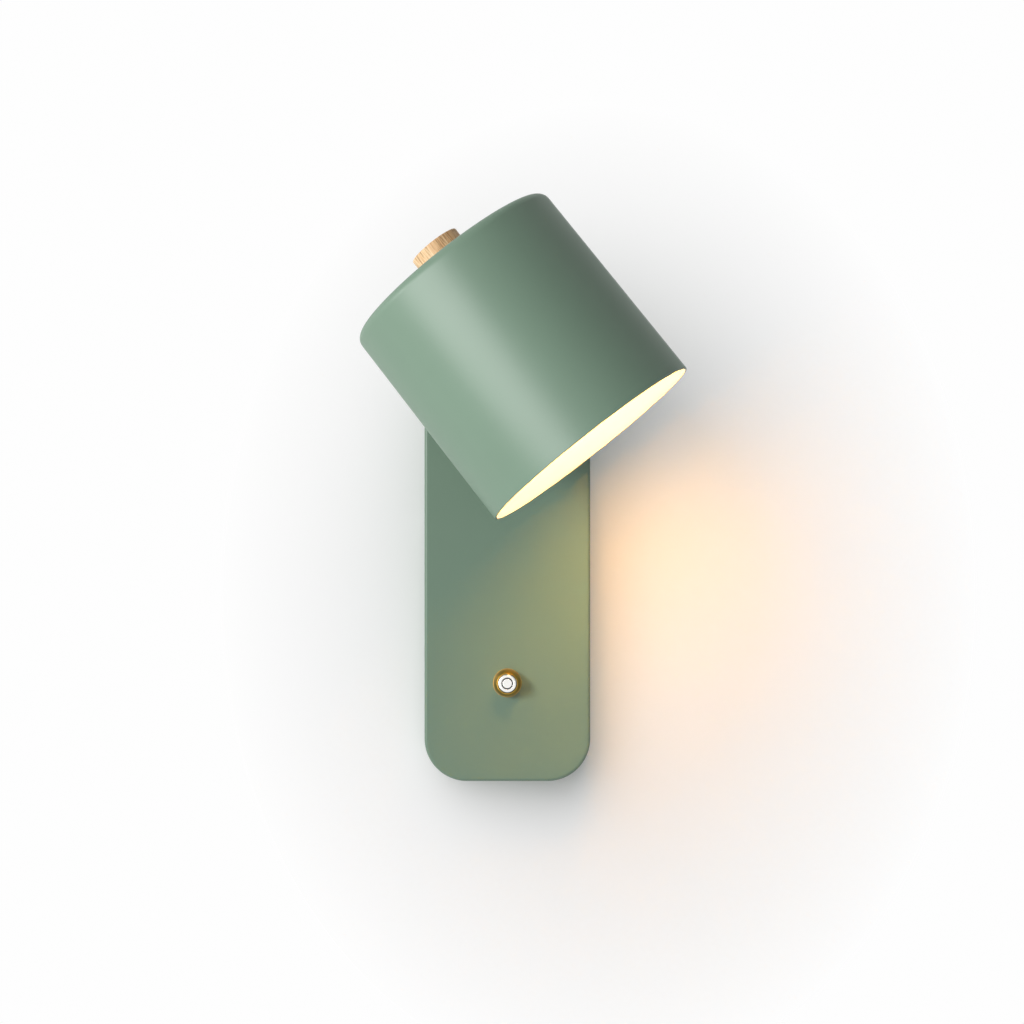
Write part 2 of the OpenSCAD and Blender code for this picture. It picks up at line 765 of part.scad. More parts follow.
// Shade: one spun profile, with a hole for the foot and one for the nipple
edge_z = top_z - shade_edge_r;
edge_x = top_d / 2 + shade_run * shade_edge_r - shade_edge_r / cos(shade_slope);
function edge_arc(r) = [
    for (i = [0 : edge_steps]) let (a = shade_slope + (90 - shade_slope) * i / edge_steps)
        [edge_x + r * cos(a), edge_z + r * sin(a)]
];
function flipped(list) = [for (i = [len(list) - 1 : -1 : 0]) list[i]];

module shade() color(sage) difference() {
    on_shade_axis() turned(concat(
        [[mouth_d / 2, mouth_z]], edge_arc(shade_edge_r),
        [[top_hole_r, top_z], [top_hole_r, top_z - shade_wall]],
        flipped(edge_arc(shade_edge_r - shade_wall)), [[mouth_d / 2 - shade_skin, mouth_z]]
    ));
    turned_in_head() translate([0, 0, foot_reach - over])
        cylinder(r = stem_r + fit_gap, h = shade_wall + 2 * over);
}

// Lampholder, hung from the nipple under the shade's top
module holder_nipple() color(zinc) on_shade_axis()
    ring(stem_r, wire_bore_r, nipple_low, top_z + nipple_up);

module earth_tag() color(brass) on_shade_axis() difference() {
    union() {
        translate([0, 0, cap_top]) cylinder(r = tag_r, h = tag_t);
        translate([-tag_ear_w / 2, 0, cap_top]) cube([tag_ear_w, tag_ear, tag_t]);
    }
    translate([0, 0, cap_top - over]) cylinder(r = top_hole_r, h = tag_t + 2 * over);
}

module holder_cap() color(white_plastic) difference() {
    on_shade_axis() turned([
        [top_hole_r, cap_top], [collar_r, cap_top], [collar_r, cap_top - cap_collar_h],
        [holder_r - cap_wall, cap_top - cap_collar_h - cap_wall / 2],
        [holder_r, cap_top - cap_collar_h - 2 * cap_wall],
        [holder_r, skirt_end], [holder_r - cap_wall, skirt_end],
        [holder_r - cap_wall, cap_top - cap_shoulder_h - cap_wall / 2],
        [collar_r, cap_top - cap_collar_h - cap_wall], [collar_r, cap_top - cap_bore_h - cap_wall],
        [top_hole_r, cap_top - cap_bore_h - cap_wall]
    ]);
    on_shade_axis() translate([0, holder_r, cap_top - cap_entry_down]) rotate([90, 0, 0])
        cylinder(r = cap_entry_r, h = 2 * (cap_wall + over), center = true);
}

module holder_body() color(white_plastic) on_shade_axis() turned([
    [body_lip_r, holder_end], [holder_r, holder_end], [holder_r, skirt_end - fit_gap],
    [holder_r - cap_wall - fit_gap, skirt_end - fit_gap],
    [holder_r - cap_wall - fit_gap, core_low],
    [holder_r - cap_wall - spigot_wall, core_low],
    [holder_r - body_wall - cap_wall, skirt_end - fit_gap],
    [holder_r - body_wall, skirt_end - fit_gap - cap_wall],
    [holder_r - body_wall, holder_end + body_lip_t], [body_lip_r, holder_end + body_lip_t]
]);

core_r = holder_r - cap_wall - fit_gap - lead_gap;
module holder_core() color(bright) on_shade_axis()
    translate([0, 0, core_low]) cylinder(r = core_r, h = core_t);

module holder_terminals() color(brass) on_shade_axis() for (s = [-1, 1])
    translate([s * holder_terminal_x - holder_terminal[0] / 2, -holder_terminal[1] / 2,
        core_low + core_t]) cube(holder_terminal);

module holder_sleeve() color(brass) on_shade_axis()
    ring(sleeve_r, sleeve_r - sleeve_wall, holder_end + sleeve_short, core_low);

module holder_contact() color(brass) on_shade_axis() translate([0, 0, core_low - contact_t])
    cylinder(r = contact_r, h = contact_t);

// Bulb: threaded cap, housing and opal globe
module bulb_tip() color(zinc) on_shade_axis() translate([0, 0, bulb_top])
    cylinder(r = bulb_tip_r, h = bulb_tip_h);

module bulb_cap() color(zinc) on_shade_axis() turned([
    [bulb_cap_r - bulb_cap_wall, housing_top], [bulb_cap_r, housing_top],
    [bulb_cap_r, bulb_top - bulb_cap_shoulder], [bulb_cap_neck_r, bulb_top], [0, bulb_top],
    [0, bulb_top - bulb_cap_wall], [bulb_cap_neck_r - bulb_cap_wall, bulb_top - bulb_cap_wall],
    [bulb_cap_r - bulb_cap_wall, bulb_top - bulb_cap_shoulder - bulb_cap_wall]
]);

module bulb_housing() color(white_plastic) on_shade_axis() turned([
    for (i = [0 : housing_steps]) let (s = i / housing_steps)
        [bulb_cap_r + (bulb_joint_r - bulb_cap_r) * sin(90 * s), housing_top - bulb_housing_l * s],
    [0, housing_end], [0, housing_top]
]);

module bulb_globe() color(bright) on_shade_axis() difference() {
    translate([0, 0, housing_end - globe_down]) difference() {
        sphere(globe_r);
        sphere(globe_r - globe_wall);
    }
    translate([0, 0, housing_end]) cylinder(r = globe_d, h = globe_d);
}

// Knob: a turned disc of wood on a brass insert
knob_r = knob_d / 2;
knob_tip_r = knob_tip_d / 2;
module wood_knob() color(ash_wood) on_shade_axis() translate([0, 0, top_z]) turned([
    [insert_r, 0], [knob_r, 0],
    for (i = [0 : knob_steps]) let (a = 90 * i / knob_steps)
        [knob_tip_r - knob_edge_r * (1 - cos(a)), knob_h - knob_edge_r * (1 - sin(a))],
    [0, knob_h], [0, insert_l + insert_end_gap], [insert_r, insert_l + insert_end_gap]
]);

module knob_insert() color(brass) on_shade_axis()
    ring(insert_r - fit_gap, top_hole_r, top_z, top_z + insert_l);

// Wires in the tray, from the terminal block to the switch, earth and swivel
function way_x(i) = (i - (way_count - 1) / 2) * way_pitch;
function bundle(i) = [bundle_r * cos(120 * i + 90), bundle_r * sin(120 * i + 90)];
way_low = block_z - tube_len / 2 + lead_r;
way_high = block_z + tube_len / 2 - lead_r;
below_block = block_z - block_h / 2 - 4 * lead_r;
wire_out = tube_axis;
cross_out = tube_axis + 3 * lead_r;
tag_mid = body_back - tag_blade_l / 2;
tag_top = switch_z + tag_blade[0] / 2 + lead_gap;
lead_side = bracket_w / 2 - lead_r;
module wall_wire(points) wire(softened(points, 2), lead_r);

// A wire at the swivel turns into line with its place in the hollow journal, the top one behind
function approach(i) = i == 0 ? 2.2 * lead_r : 5.5 * lead_r;
function into_journal(i, x) = [
    [x, -wire_out, swivel_z / 2], [0.6 * x, -approach(i), swivel_z - 2 * ear_r],
    [bundle(i)[0], -approach(i), swivel_z + bundle(i)[1] - lead_r],
    [bundle(i)[0], -journal_low + 2 * lead_r, swivel_z + bundle(i)[1]],
    [bundle(i)[0], -journal_low + lead_gap, swivel_z + bundle(i)[1]]
];

module live_lead() color([0.45, 0.28, 0.18]) wall_wire([
    [way_x(0), -wire_out, way_low], [way_x(0), -wire_out, below_block],
    [-2 * tag_blade_x, -wire_out, earth_z], [-tag_blade_x, -tag_mid, tag_top + switch_body_w / 2],
    [-tag_blade_x, -tag_mid, tag_top]
]);

module switched_lead() color([0.2, 0.2, 0.22]) wall_wire(concat([
    [tag_blade_x, -tag_mid, tag_top], [tag_blade_x, -tag_mid, tag_top + switch_body_w / 2],
    [earth_x, -wire_out, earth_z - 2 * earth_washer_r], [lead_side, -wire_out, earth_z],
    [lead_side, -wire_out, 0]
], into_journal(0, lead_side)));

module neutral_lead() color([0.2, 0.32, 0.6]) wall_wire(concat([
    [way_x(1), -wire_out, way_low], [way_x(1), -wire_out, below_block],
    [way_x(0.5), -cross_out, below_block - 3 * lead_r],
    [way_x(-0.5), -cross_out, below_block - 3 * lead_r],
    [-lead_side, -cross_out, below_block], [-lead_side, -wire_out, 0]
], into_journal(1, -lead_side)));

module earth_lead() color([0.35, 0.55, 0.2]) {
    wall_wire([
        [way_x(2), -wire_out, way_low], [way_x(2), -wire_out, below_block],
        [earth_x, -wire_out, (below_block + earth_z) / 2],
        [earth_x, -bracket_t - lead_r - lead_gap, earth_z + earth_washer_r + 5 * lead_r],
        [earth_x, -bracket_t - lead_r - lead_gap, earth_z + earth_washer_r + lead_gap]
    ]);
    wall_wire(concat([
        [way_x(2), -wire_out, way_high], [way_x(2), -wire_out, block_z + block_h],
        [way_x(2.5), -wire_out, entry_up + grommet_r]
    ], into_journal(2, way_x(2.5))));
}

module stem_leads() color([0.2, 0.32, 0.6]) turned_in_swivel() for (i = [0 : 2])
    translate([bundle(i)[0], bundle(i)[1], journal_low])
    cylinder(r = lead_r, h = post_front - journal_low - lead_gap, $fn = 16);

// Wires in the head, from the tongue's bore to the lampholder and its earth tag
lead_start = heel_r - lead_r;
lead_mouth = stem_end + lead_r;
cap_entry_z = cap_top - cap_entry_down;
terminal_z = core_low + core_t + 1.5 * lead_r;
entry_x = 1.2 * lead_r;
function through_stem(i) = [
    [bundle(i)[0], lead_start, bundle(i)[1]], [bundle(i)[0], -stem_end, bundle(i)[1]],
    [bundle(i)[0], -lead_mouth, bundle(i)[1]]
];

module holder_leads() color([0.2, 0.32, 0.6]) in_head() for (i = [1, 2]) {
    s = i == 1 ? -1 : 1;
    wire(softened(concat(through_stem(i), [
        [s * entry_x, -lead_mouth - 7 * lead_r, 3 * lead_r],
        [s * entry_x, -axis_out + holder_r + 3 * cap_wall, cap_entry_z],
        [s * entry_x, -axis_out + holder_r - 2 * cap_wall, cap_entry_z],
        [s * holder_terminal_x, -axis_out + 1.5 * holder_terminal[1], terminal_z],
        [s * holder_terminal_x, -axis_out + holder_terminal[1] / 2 + lead_gap, terminal_z]
    ]), 2), lead_r);
}

module head_earth_lead() color([0.35, 0.55, 0.2]) in_head() wire(softened(concat(
    through_stem(0), [
        [0, -lead_mouth - 6 * lead_r, 9 * lead_r],
        [0, -axis_out + holder_r + collar_r, cap_top - collar_r],
        [0, -axis_out + tag_ear + 2 * cap_wall, cap_top - lead_r - lead_gap],
        [0, -axis_out + tag_ear - cap_wall, cap_top - lead_r - lead_gap]
    ]), 2), lead_r);

front_cover();
wall_bracket();
cover_screws();
cable_grommet();
terminal_block();
terminal_tubes();
terminal_screws();
block_screw();
earth_screw();
switch_bezel();
switch_washer();
switch_nut();
switch_body();
switch_tags();
switch_spring();
switch_button();
swivel_base();
base_washer();
base_nut();
stop_pin();
live_lead();
switched_lead();
neutral_lead();
earth_lead();
swivel_post();
friction_washer();
thrust_washer();
post_circlip();
pivot_screws();
pivot_washers();
stem_leads();
tilt_tongue();
saddle_washer();
shade_nut();
shade();
holder_nipple();
holder_cap();
holder_body();
holder_core();
holder_terminals();
holder_sleeve();
holder_contact();
earth_tag();
holder_leads();
head_earth_lead();
knob_insert();
wood_knob();
bulb_globe();
bulb_housing();
bulb_cap();
bulb_tip();
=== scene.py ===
"""The looks of a bedside wall reading lamp, built round its construction model.

Lengths are in metres. The wall is the plane y = 0, x runs to the right and z up.
A local frame has its z along a piece's own axis, and all pieces but six wires are drawn in one.
"""

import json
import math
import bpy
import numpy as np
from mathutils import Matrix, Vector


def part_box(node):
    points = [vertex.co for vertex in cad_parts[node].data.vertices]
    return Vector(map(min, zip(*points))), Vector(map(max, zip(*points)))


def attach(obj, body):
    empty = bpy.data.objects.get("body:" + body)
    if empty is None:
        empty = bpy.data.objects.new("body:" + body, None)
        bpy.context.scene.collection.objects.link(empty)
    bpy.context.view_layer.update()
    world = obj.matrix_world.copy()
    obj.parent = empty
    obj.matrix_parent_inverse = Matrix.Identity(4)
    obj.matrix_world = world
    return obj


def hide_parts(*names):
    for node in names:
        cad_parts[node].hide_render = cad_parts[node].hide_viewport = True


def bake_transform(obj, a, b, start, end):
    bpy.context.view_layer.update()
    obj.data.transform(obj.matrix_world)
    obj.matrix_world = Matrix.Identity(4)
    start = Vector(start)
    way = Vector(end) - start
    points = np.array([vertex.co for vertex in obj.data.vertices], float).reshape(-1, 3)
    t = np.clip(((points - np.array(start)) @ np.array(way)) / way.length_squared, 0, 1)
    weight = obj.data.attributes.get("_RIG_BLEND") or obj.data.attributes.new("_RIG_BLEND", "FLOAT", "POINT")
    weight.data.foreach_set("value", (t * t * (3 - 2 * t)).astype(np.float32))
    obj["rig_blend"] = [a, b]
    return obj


bl_info = {
    "name": "Wall reading lamp",
    "version": (1, 0, 0),
    "blender": (4, 5, 0),
    "location": "3D View > Sidebar > Lamp",
    "description": "Builds a wall reading lamp with a drum shade round its construction model",
    "category": "Object",
}

import bmesh
import bpy
from mathutils import Matrix, Vector

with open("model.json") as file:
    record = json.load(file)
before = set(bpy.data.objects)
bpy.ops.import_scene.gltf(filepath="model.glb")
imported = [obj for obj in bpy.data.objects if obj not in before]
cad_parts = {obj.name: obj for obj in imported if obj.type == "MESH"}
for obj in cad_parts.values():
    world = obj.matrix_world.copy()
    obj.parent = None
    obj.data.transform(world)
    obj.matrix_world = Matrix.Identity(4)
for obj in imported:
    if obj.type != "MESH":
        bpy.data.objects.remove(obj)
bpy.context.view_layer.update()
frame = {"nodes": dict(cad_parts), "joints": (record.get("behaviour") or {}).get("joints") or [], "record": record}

JOINTS = {joint["name"]: joint for joint in frame["joints"]}
BODY_OF = {
    node: body for body, nodes in frame["record"]["behaviour"]["bodies"].items() for node in nodes
}
SLOT_OF = {part["node"]: part["material_slot"] for part in frame["record"]["subparts"]}


# Local frames, read from the joints and from the round nodes

def middle(node):
    low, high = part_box(node)
    return (low + high) / 2


def place(origin, x_axis, z_axis):
    """A local frame with the given origin, x axis and z axis."""
    z = Vector(z_axis).normalized()
    x = Vector(x_axis).normalized()
    matrix = Matrix((x, z.cross(x), z)).transposed().to_4x4()
    matrix.translation = origin
    return matrix


def on_wall(x, z):
    """A local frame on the wall that looks into the room."""
    return place((x, 0, z), ACROSS, OUT)


ACROSS = Vector((1, 0, 0))
OUT = Vector((0, -1, 0))
PIVOT = Vector(JOINTS["head_tilt"]["pos_m"])
TILT_AXIS = Vector(JOINTS["head_tilt"]["axis"]).normalized()
SHADE_UP = (middle("knob_insert") - middle("holder_contact")).normalized()
HEAD_OUT = TILT_AXIS.cross(SHADE_UP)
SHADE_ORIGIN = middle("holder_contact")
SHADE_ORIGIN = SHADE_ORIGIN + SHADE_UP * (PIVOT - SHADE_ORIGIN).dot(SHADE_UP)

AT_WALL = on_wall(0, 0)
AT_SWITCH = on_wall(0, middle("switch_nut").z)
AT_BASE = on_wall(0, PIVOT.z)
IN_SWIVEL = place((0, 0, PIVOT.z), TILT_AXIS, OUT)
ON_PIVOT = place(PIVOT, OUT, TILT_AXIS)
IN_HEAD = place(PIVOT, TILT_AXIS, HEAD_OUT)
ON_SHADE = place(SHADE_ORIGIN, TILT_AXIS, SHADE_UP)
AT_GROMMET = on_wall(0, middle("cable_grommet").z)
AT_BLOCK = on_wall(middle("terminal_block").x, middle("terminal_block").z)


def measured(node, where, above=-math.inf, below=math.inf):
    """The lowest and highest corner, in a local frame, of a node's points between two heights."""
    inverse = where.inverted()
    points = [inverse @ vertex.co for vertex in frame["nodes"][node].data.vertices]
    points = [p for p in points if above < p.z < below]
    return [Vector([pick(p[i] for p in points) for i in range(3)]) for pick in (min, max)]


PLATE_LOW, PLATE_HIGH = measured("front_cover", AT_WALL)
SHADE_LOW, SHADE_HIGH = measured("shade", ON_SHADE)
KNOB_LOW, KNOB_HIGH = measured("wood_knob", ON_SHADE)
COLLAR_LOW, COLLAR_HIGH = measured("switch_bezel", AT_SWITCH)
BUTTON_LOW, BUTTON_HIGH = measured("switch_button", AT_SWITCH)
BUTTON_R = measured("switch_button", AT_SWITCH, above=PLATE_HIGH.z)[1].x
BASE_SHANK_R = measured("swivel_base", AT_BASE, below=PLATE_HIGH.z - 0.001)[1].x
GLOBE_LOW, GLOBE_HIGH = measured("bulb_globe", ON_SHADE)
HOUSING_LOW, HOUSING_HIGH = measured("bulb_housing", ON_SHADE)
CAP_LOW, CAP_HIGH = measured("bulb_cap", ON_SHADE)


# Sizes and colours that a user would change

def amount(name, description, default, **limits):
    return bpy.props.FloatProperty(name=name, description=description, default=default, **limits)


def length(name, description, default):
    return amount(name, description, default, min=0, precision=4, unit="LENGTH")


def power(name, description, default):
    return amount(name, description, default, unit="POWER")


def colour(name, description, default):
    return bpy.props.FloatVectorProperty(
        name=name, description=description, default=default, min=0, max=1, size=3, subtype="COLOR")


class PlateSizes(bpy.types.PropertyGroup):
    corner: length("Corner radius", "Radius of the plate's four corners", 0.0205)
    edge: length("Edge radius", "Radius pressed round the front edge", 0.0014)
    wall: length("Sheet thickness", "Thickness of the pressed sheet", 0.0012)
    screw: length("Side screw radius", "Radius of the screws through the sides", 0.0015)


class ShadeSizes(bpy.types.PropertyGroup):
    top: length("Top radius", "Outer radius of the cone at the shade's top", 0.054)
    edge: length("Edge radius", "Radius spun round the shade's top edge", 0.0045)
    wall: length("Sheet thickness", "Thickness of the spun sheet", 0.0011)
    lip: length("Lip radius", "Radius of the sheet's edge at the mouth", 0.0004)
    nipple_hole: length("Nipple hole", "Radius of the hole in the shade's top", 0.00505)
    stem_hole: length("Stem hole", "Radius of the hole for the knuckle's stem", 0.00505)


class KnobSizes(bpy.types.PropertyGroup):
    tip: length("Face radius", "Radius of the knob's outer face", 0.0123)
    rise: length("Rise", "Height of the turned face above the drawn one", 0.0008)
    edge: length("Edge radius", "Radius of the knob's worn edge", 0.0004)
    bore: length("Bore", "Radius of the hole for the brass insert", 0.0065)
    bore_depth: length("Bore depth", "Depth of the hole for the brass insert", 0.008)


class SwitchSizes(bpy.types.PropertyGroup):
    collar: length("Collar radius", "Radius of the collar on the plate", 0.0069)
    tip_wall: length("Collar tip", "Width of the collar's rim round the button", 0.0003)
    rim: length("Rim height", "Height of the collar's straight rim", 0.001)
    shank: length("Shank radius", "Radius of the threaded shank", 0.006)
    step: length("Step depth", "Depth behind the plate of the collar's inner step", 0.004)
    shoulder: length("Shoulder", "Height of the button's shoulder below that step", 0.0025)
    gap: length("Button gap", "Running gap round the button", 0.00032)
    high: length("Button high", "How far the button sits above the middle of its bore", 0.0002)
    groove: length("Groove radius", "Outer radius of the ring cut in the button", 0.0028)
    groove_width: length("Groove width", "Width of the ring cut in the button", 0.00055)
    groove_depth: length("Groove depth", "Depth of the ring cut in the button", 0.0004)


class Finishes(bpy.types.PropertyGroup):
    sage: colour("Sage", "Powder coat of the plate and the shade", (0.168, 0.262, 0.189))
    enamel: colour("Enamel", "White inside of the shade", (0.86, 0.85, 0.82))
    brass: colour("Brass", "Turned brass", (0.53, 0.305, 0.062))
    nickel: colour("Nickel", "Polished button", (0.9, 0.885, 0.86))
    zinc: colour("Zinc", "Plated steel", (0.56, 0.57, 0.58))
    ash_light: colour("Early wood", "Pale bands of the ash", (0.90, 0.66, 0.39))
    ash_dark: colour("Late wood", "Darker bands of the ash", (0.58, 0.27, 0.095))
    glow: colour("Lamp light", "Colour of the lit bulb", (1.0, 0.49, 0.105))


class StageSettings(bpy.types.PropertyGroup):
    lens: amount("Focal length", "Focal length of the camera in millimetres", 105.5)
    distance: length("Camera distance", "Distance from the wall to the camera", 1.472)
    aside: length("Camera aside", "Camera right of the lamp's centre", 0.00224)
    above: length("Camera above", "Camera above the lamp's centre", 0.0049)
    key: power("Key light", "Power of the soft light from the left", 59)
    upper: power("Edge light", "Power of the light from the side on the shade's rolled edge", 6)
    fill: amount("Fill", "Strength of the even light from all round", 0.34)
    wash: power("Wall wash", "Power of the light that falls on the wall alone", 107)
    bulb: amount("Bulb", "Strength of the lit bulb's surface", 46)
    glow: power("Glow", "Power of the bulb's light on the wall", 0.54)


# Node trees

SOCKETS = {float: "NodeSocketFloat", int: "NodeSocketInt", tuple: "NodeSocketColor",
           Vector: "NodeSocketVector"}
MADE = {}


def group_tree(name, kind, inputs, outputs):
    """A new node group with its input and output ends.

    Sockets are given as {label: default}, or as {label: kind} where they have no default.
    """
    tree = bpy.data.node_groups.new(name, kind)
    for side, sockets in (("INPUT", inputs), ("OUTPUT", outputs)):
        for label, given in sockets.items():
            bare = isinstance(given, str)
            socket = tree.interface.new_socket(
                label, in_out=side, socket_type=given if bare else SOCKETS[type(given)])
            if side == "INPUT" and not bare:
                socket.default_value = given
    return tree, tree.nodes.new("NodeGroupInput").outputs, tree.nodes.new("NodeGroupOutput")


def shared_group(build):
    """A node group that is built once and used by everything that asks for it."""
    if build not in MADE:
        MADE[build] = build()
    return MADE[build]


def add(tree, kind, settings=None, **inputs):
    """A node of a kind, with its settings set and its inputs set or linked by name or index."""
    node = tree.nodes.new(kind)
    for key, value in (settings or {}).items():
        setattr(node, key, value)
    for key, value in inputs.items():
        plug(tree, node, key.replace("_", " "), value)
    return node


def plug(tree, node, key, value):
    """Sets an input of a node, or links it when the value is another node's output."""
    socket = node.inputs[key]
    if isinstance(value, bpy.types.NodeSocket):
        tree.links.new(value, socket)
    else:
        socket.default_value = value


def maths(tree, operation, *values):
    node = tree.nodes.new("ShaderNodeMath")
    node.operation = operation
    for index, value in enumerate(values):
        plug(tree, node, index, value)
    return node.outputs[0]


def hypotenuse(tree, first, second):
    """How far two steps at a right angle go together."""
    return maths(tree, "SQRT", maths(tree, "ADD", maths(tree, "MULTIPLY", first, first),
                                     maths(tree, "MULTIPLY", second, second)))


def shared_out(tree, share, first, second):
    """The sum of two values, the first of which has this share."""
    return maths(tree, "ADD", maths(tree, "MULTIPLY", first, share),
                 maths(tree, "MULTIPLY", second, 1 - share))


def blended(tree, share, first, second):
    """A colour mixed from two others, on the sockets that a mix of colours has."""
    node = add(tree, "ShaderNodeMix", {"data_type": "RGBA"})
    for index, value in ((0, share), (6, first), (7, second)):
        plug(tree, node, index, value)
    return node.outputs[2]


def ramped(tree, value, low, high, to_low=0.0, to_high=1.0):
    """A value mapped evenly from one range to another, and kept within it."""
    return add(tree, "ShaderNodeMapRange", Value=value, From_Min=low, From_Max=high,
               To_Min=to_low, To_Max=to_high).outputs["Result"]


def noise(tree, vector, scale, detail=2.0, roughness=0.5):
    return add(tree, "ShaderNodeTexNoise", Vector=vector, Scale=scale, Detail=detail,
               Roughness=roughness).outputs[0]


def along_tilt(tree, vector):
    """How far a place or direction lies along the tilt's axis, towards the shade's right side."""
    node = add(tree, "ShaderNodeVectorMath", {"operation": "DOT_PRODUCT"}, Vector=vector)
    plug(tree, node, 1, TILT_AXIS)
    return node.outputs["Value"]


# Shader groups for effects that several finishes share

def grain_tree(name, fineness, tone, roughness, spread):
    """A group that varies a colour and a roughness, and puts out a height."""
    return group_tree(
        name, "ShaderNodeTree",
        {"Vector": Vector((0, 0, 0)), "Colour": (0.5, 0.5, 0.5, 1.0), "Fineness": fineness,
         "Tone": tone, "Roughness": roughness, "Spread": spread},
        {"Colour": "NodeSocketColor", "Roughness": "NodeSocketFloat",
         "Height": "NodeSocketFloat"})


def worn(tree, given, out, tone, wear, height):
    """Ends a grain tree: tone moves the colour and wear the roughness, either way from 0.5."""
    def swing(value, spread, level):
        return maths(tree, "MULTIPLY_ADD", maths(tree, "SUBTRACT", value, 0.5), spread, level)

    tint = add(tree, "ShaderNodeVectorMath", {"operation": "SCALE"}, Vector=given["Colour"],
               Scale=swing(tone, given["Tone"], 1.0))
    plug(tree, out, "Colour", tint.outputs[0])
    plug(tree, out, "Roughness", swing(wear, given["Spread"], given["Roughness"]))
    plug(tree, out, "Height", height)
    return tree


def cast_grain():
    """Orange peel, tone and roughness of a sprayed, moulded or fired surface."""
    tree, given, out = grain_tree("Cast grain", 1500.0, 0.05, 0.5, 0.06)
    where, fineness = given["Vector"], given["Fineness"]
    peel = noise(tree, where, fineness, 3.0, 0.6)
    cloud = noise(tree, where, 28.0, 3.0, 0.55)
    speck = noise(tree, where, maths(tree, "MULTIPLY", fineness, 2.7), 1.0)
    return worn(tree, given, out, shared_out(tree, 0.7, cloud, speck), cloud, peel)


def turning_marks():
    """Fine rings that a lathe leaves round a piece's own axis."""
    tree, given, out = grain_tree("Turning marks", 9000.0, 0.12, 0.25, 0.12)
    parts = add(tree, "ShaderNodeSeparateXYZ", Vector=given["Vector"]).outputs
    radius = hypotenuse(tree, parts[0], parts[1])
    profile = add(tree, "ShaderNodeCombineXYZ", X=radius, Y=parts[2]).outputs[0]
    rings = noise(tree, profile, given["Fineness"], 3.0, 0.7)
    stain = noise(tree, given["Vector"], 220.0, 4.0, 0.6)
    tone = shared_out(tree, 0.4, rings, stain)
    return worn(tree, given, out, tone, tone, rings)


# Finishes

def new_material(name, **constants):
    """A material with a Principled shader, whose plain values are set on its own sockets."""
    material = bpy.data.materials.new(name)
    material.use_nodes = True
    tree = material.node_tree
    shader = tree.nodes["Principled BSDF"]
    for key, value in constants.items():
        shader.inputs[key.replace("_", " ")].default_value = value
    return material, tree, shader


def bumped(tree, shader, height, distance):
    bump = add(tree, "ShaderNodeBump", Height=height, Distance=distance)
    plug(tree, shader, "Normal", bump.outputs[0])


def opaque(rgb):
    return (rgb[0], rgb[1], rgb[2], 1.0)


def own_place(tree):
    """Where a point lies in the local frame that its piece was drawn in."""
    return add(tree, "ShaderNodeAttribute", {"attribute_name": "local"}).outputs["Vector"]


def shared_place(tree):
    """Where a point lies in the frame that all pieces share."""
    return tree.nodes.new("ShaderNodeTexCoord").outputs["Object"]


def grained(name, rgb, build, fineness, tone, roughness, depth, spread, **constants):
    """A material whose colour, roughness and bump come from a shared group."""
    material, tree, shader = new_material(name, **constants)
    where = own_place(tree) if build is turning_marks else shared_place(tree)
    grain = add(tree, "ShaderNodeGroup", {"node_tree": shared_group(build)}, Vector=where,
                Colour=opaque(rgb), Fineness=fineness, Tone=tone, Roughness=roughness,
                Spread=spread).outputs
    plug(tree, shader, "Base Color", grain["Colour"])
    plug(tree, shader, "Roughness", grain["Roughness"])
    bumped(tree, shader, grain["Height"], depth)
    return material


def cast(name, rgb, *grain, **constants):
    return grained(name, rgb, cast_grain, *grain, spread=0.08, **constants)


def plated(name, rgb, *grain):
    return cast(name, rgb, *grain, Metallic=1.0)


def lathed(name, rgb, *grain):
    return grained(name, rgb, turning_marks, *grain, spread=0.14, Metallic=1.0)


# How each plain finish is made: the way, the colour or the setting that holds it, the fineness
# of its grain per metre, how far its tone strays, its roughness, and the depth of its bump
PLAIN_FINISHES = {
    "white_enamel": (cast, "enamel", 900.0, 0.03, 0.5, 0.00002),
    "turned_brass": (lathed, "brass", 9000.0, 0.25, 0.32, 0.000004),
    "polished_metal": (lathed, "nickel", 14000.0, 0.05, 0.12, 0.000001),
    "zinc_plated_steel": (plated, "zinc", 700.0, 0.35, 0.36, 0.00001),
    "white_plastic": (cast, (0.78, 0.775, 0.75), 2500.0, 0.04, 0.42, 0.00001),
    "black_plastic": (cast, (0.018, 0.018, 0.02), 2500.0, 0.3, 0.5, 0.00002),
    "black_rubber": (cast, (0.02, 0.02, 0.02), 1200.0, 0.4, 0.7, 0.00004),
    "glazed_insulator": (cast, (0.84, 0.82, 0.77), 400.0, 0.05, 0.15, 0.00003),
    "brown_wire": (cast, (0.16, 0.06, 0.025), 1800.0, 0.12, 0.36, 0.00001),
    "black_wire": (cast, (0.02, 0.02, 0.024), 1800.0, 0.12, 0.36, 0.00001),
    "blue_wire": (cast, (0.02, 0.09, 0.36), 1800.0, 0.12, 0.36, 0.00001),
    "green_wire": (cast, (0.11, 0.30, 0.04), 1800.0, 0.12, 0.36, 0.00001),
}


def sage_powder_coat(tints):
    """The coat's fine grain takes the shine away at a low angle."""
    material = cast("sage_powder_coat", tints.sage, 1500.0, 0.10, 0.38, 0.00002)
    tree = material.node_tree
    facing = tree.nodes.new("ShaderNodeLayerWeight").outputs["Facing"]
    plug(tree, tree.nodes["Principled BSDF"], "Specular IOR Level",
         ramped(tree, facing, 0.35, 0.8, 0.62, 0.12))
    return material


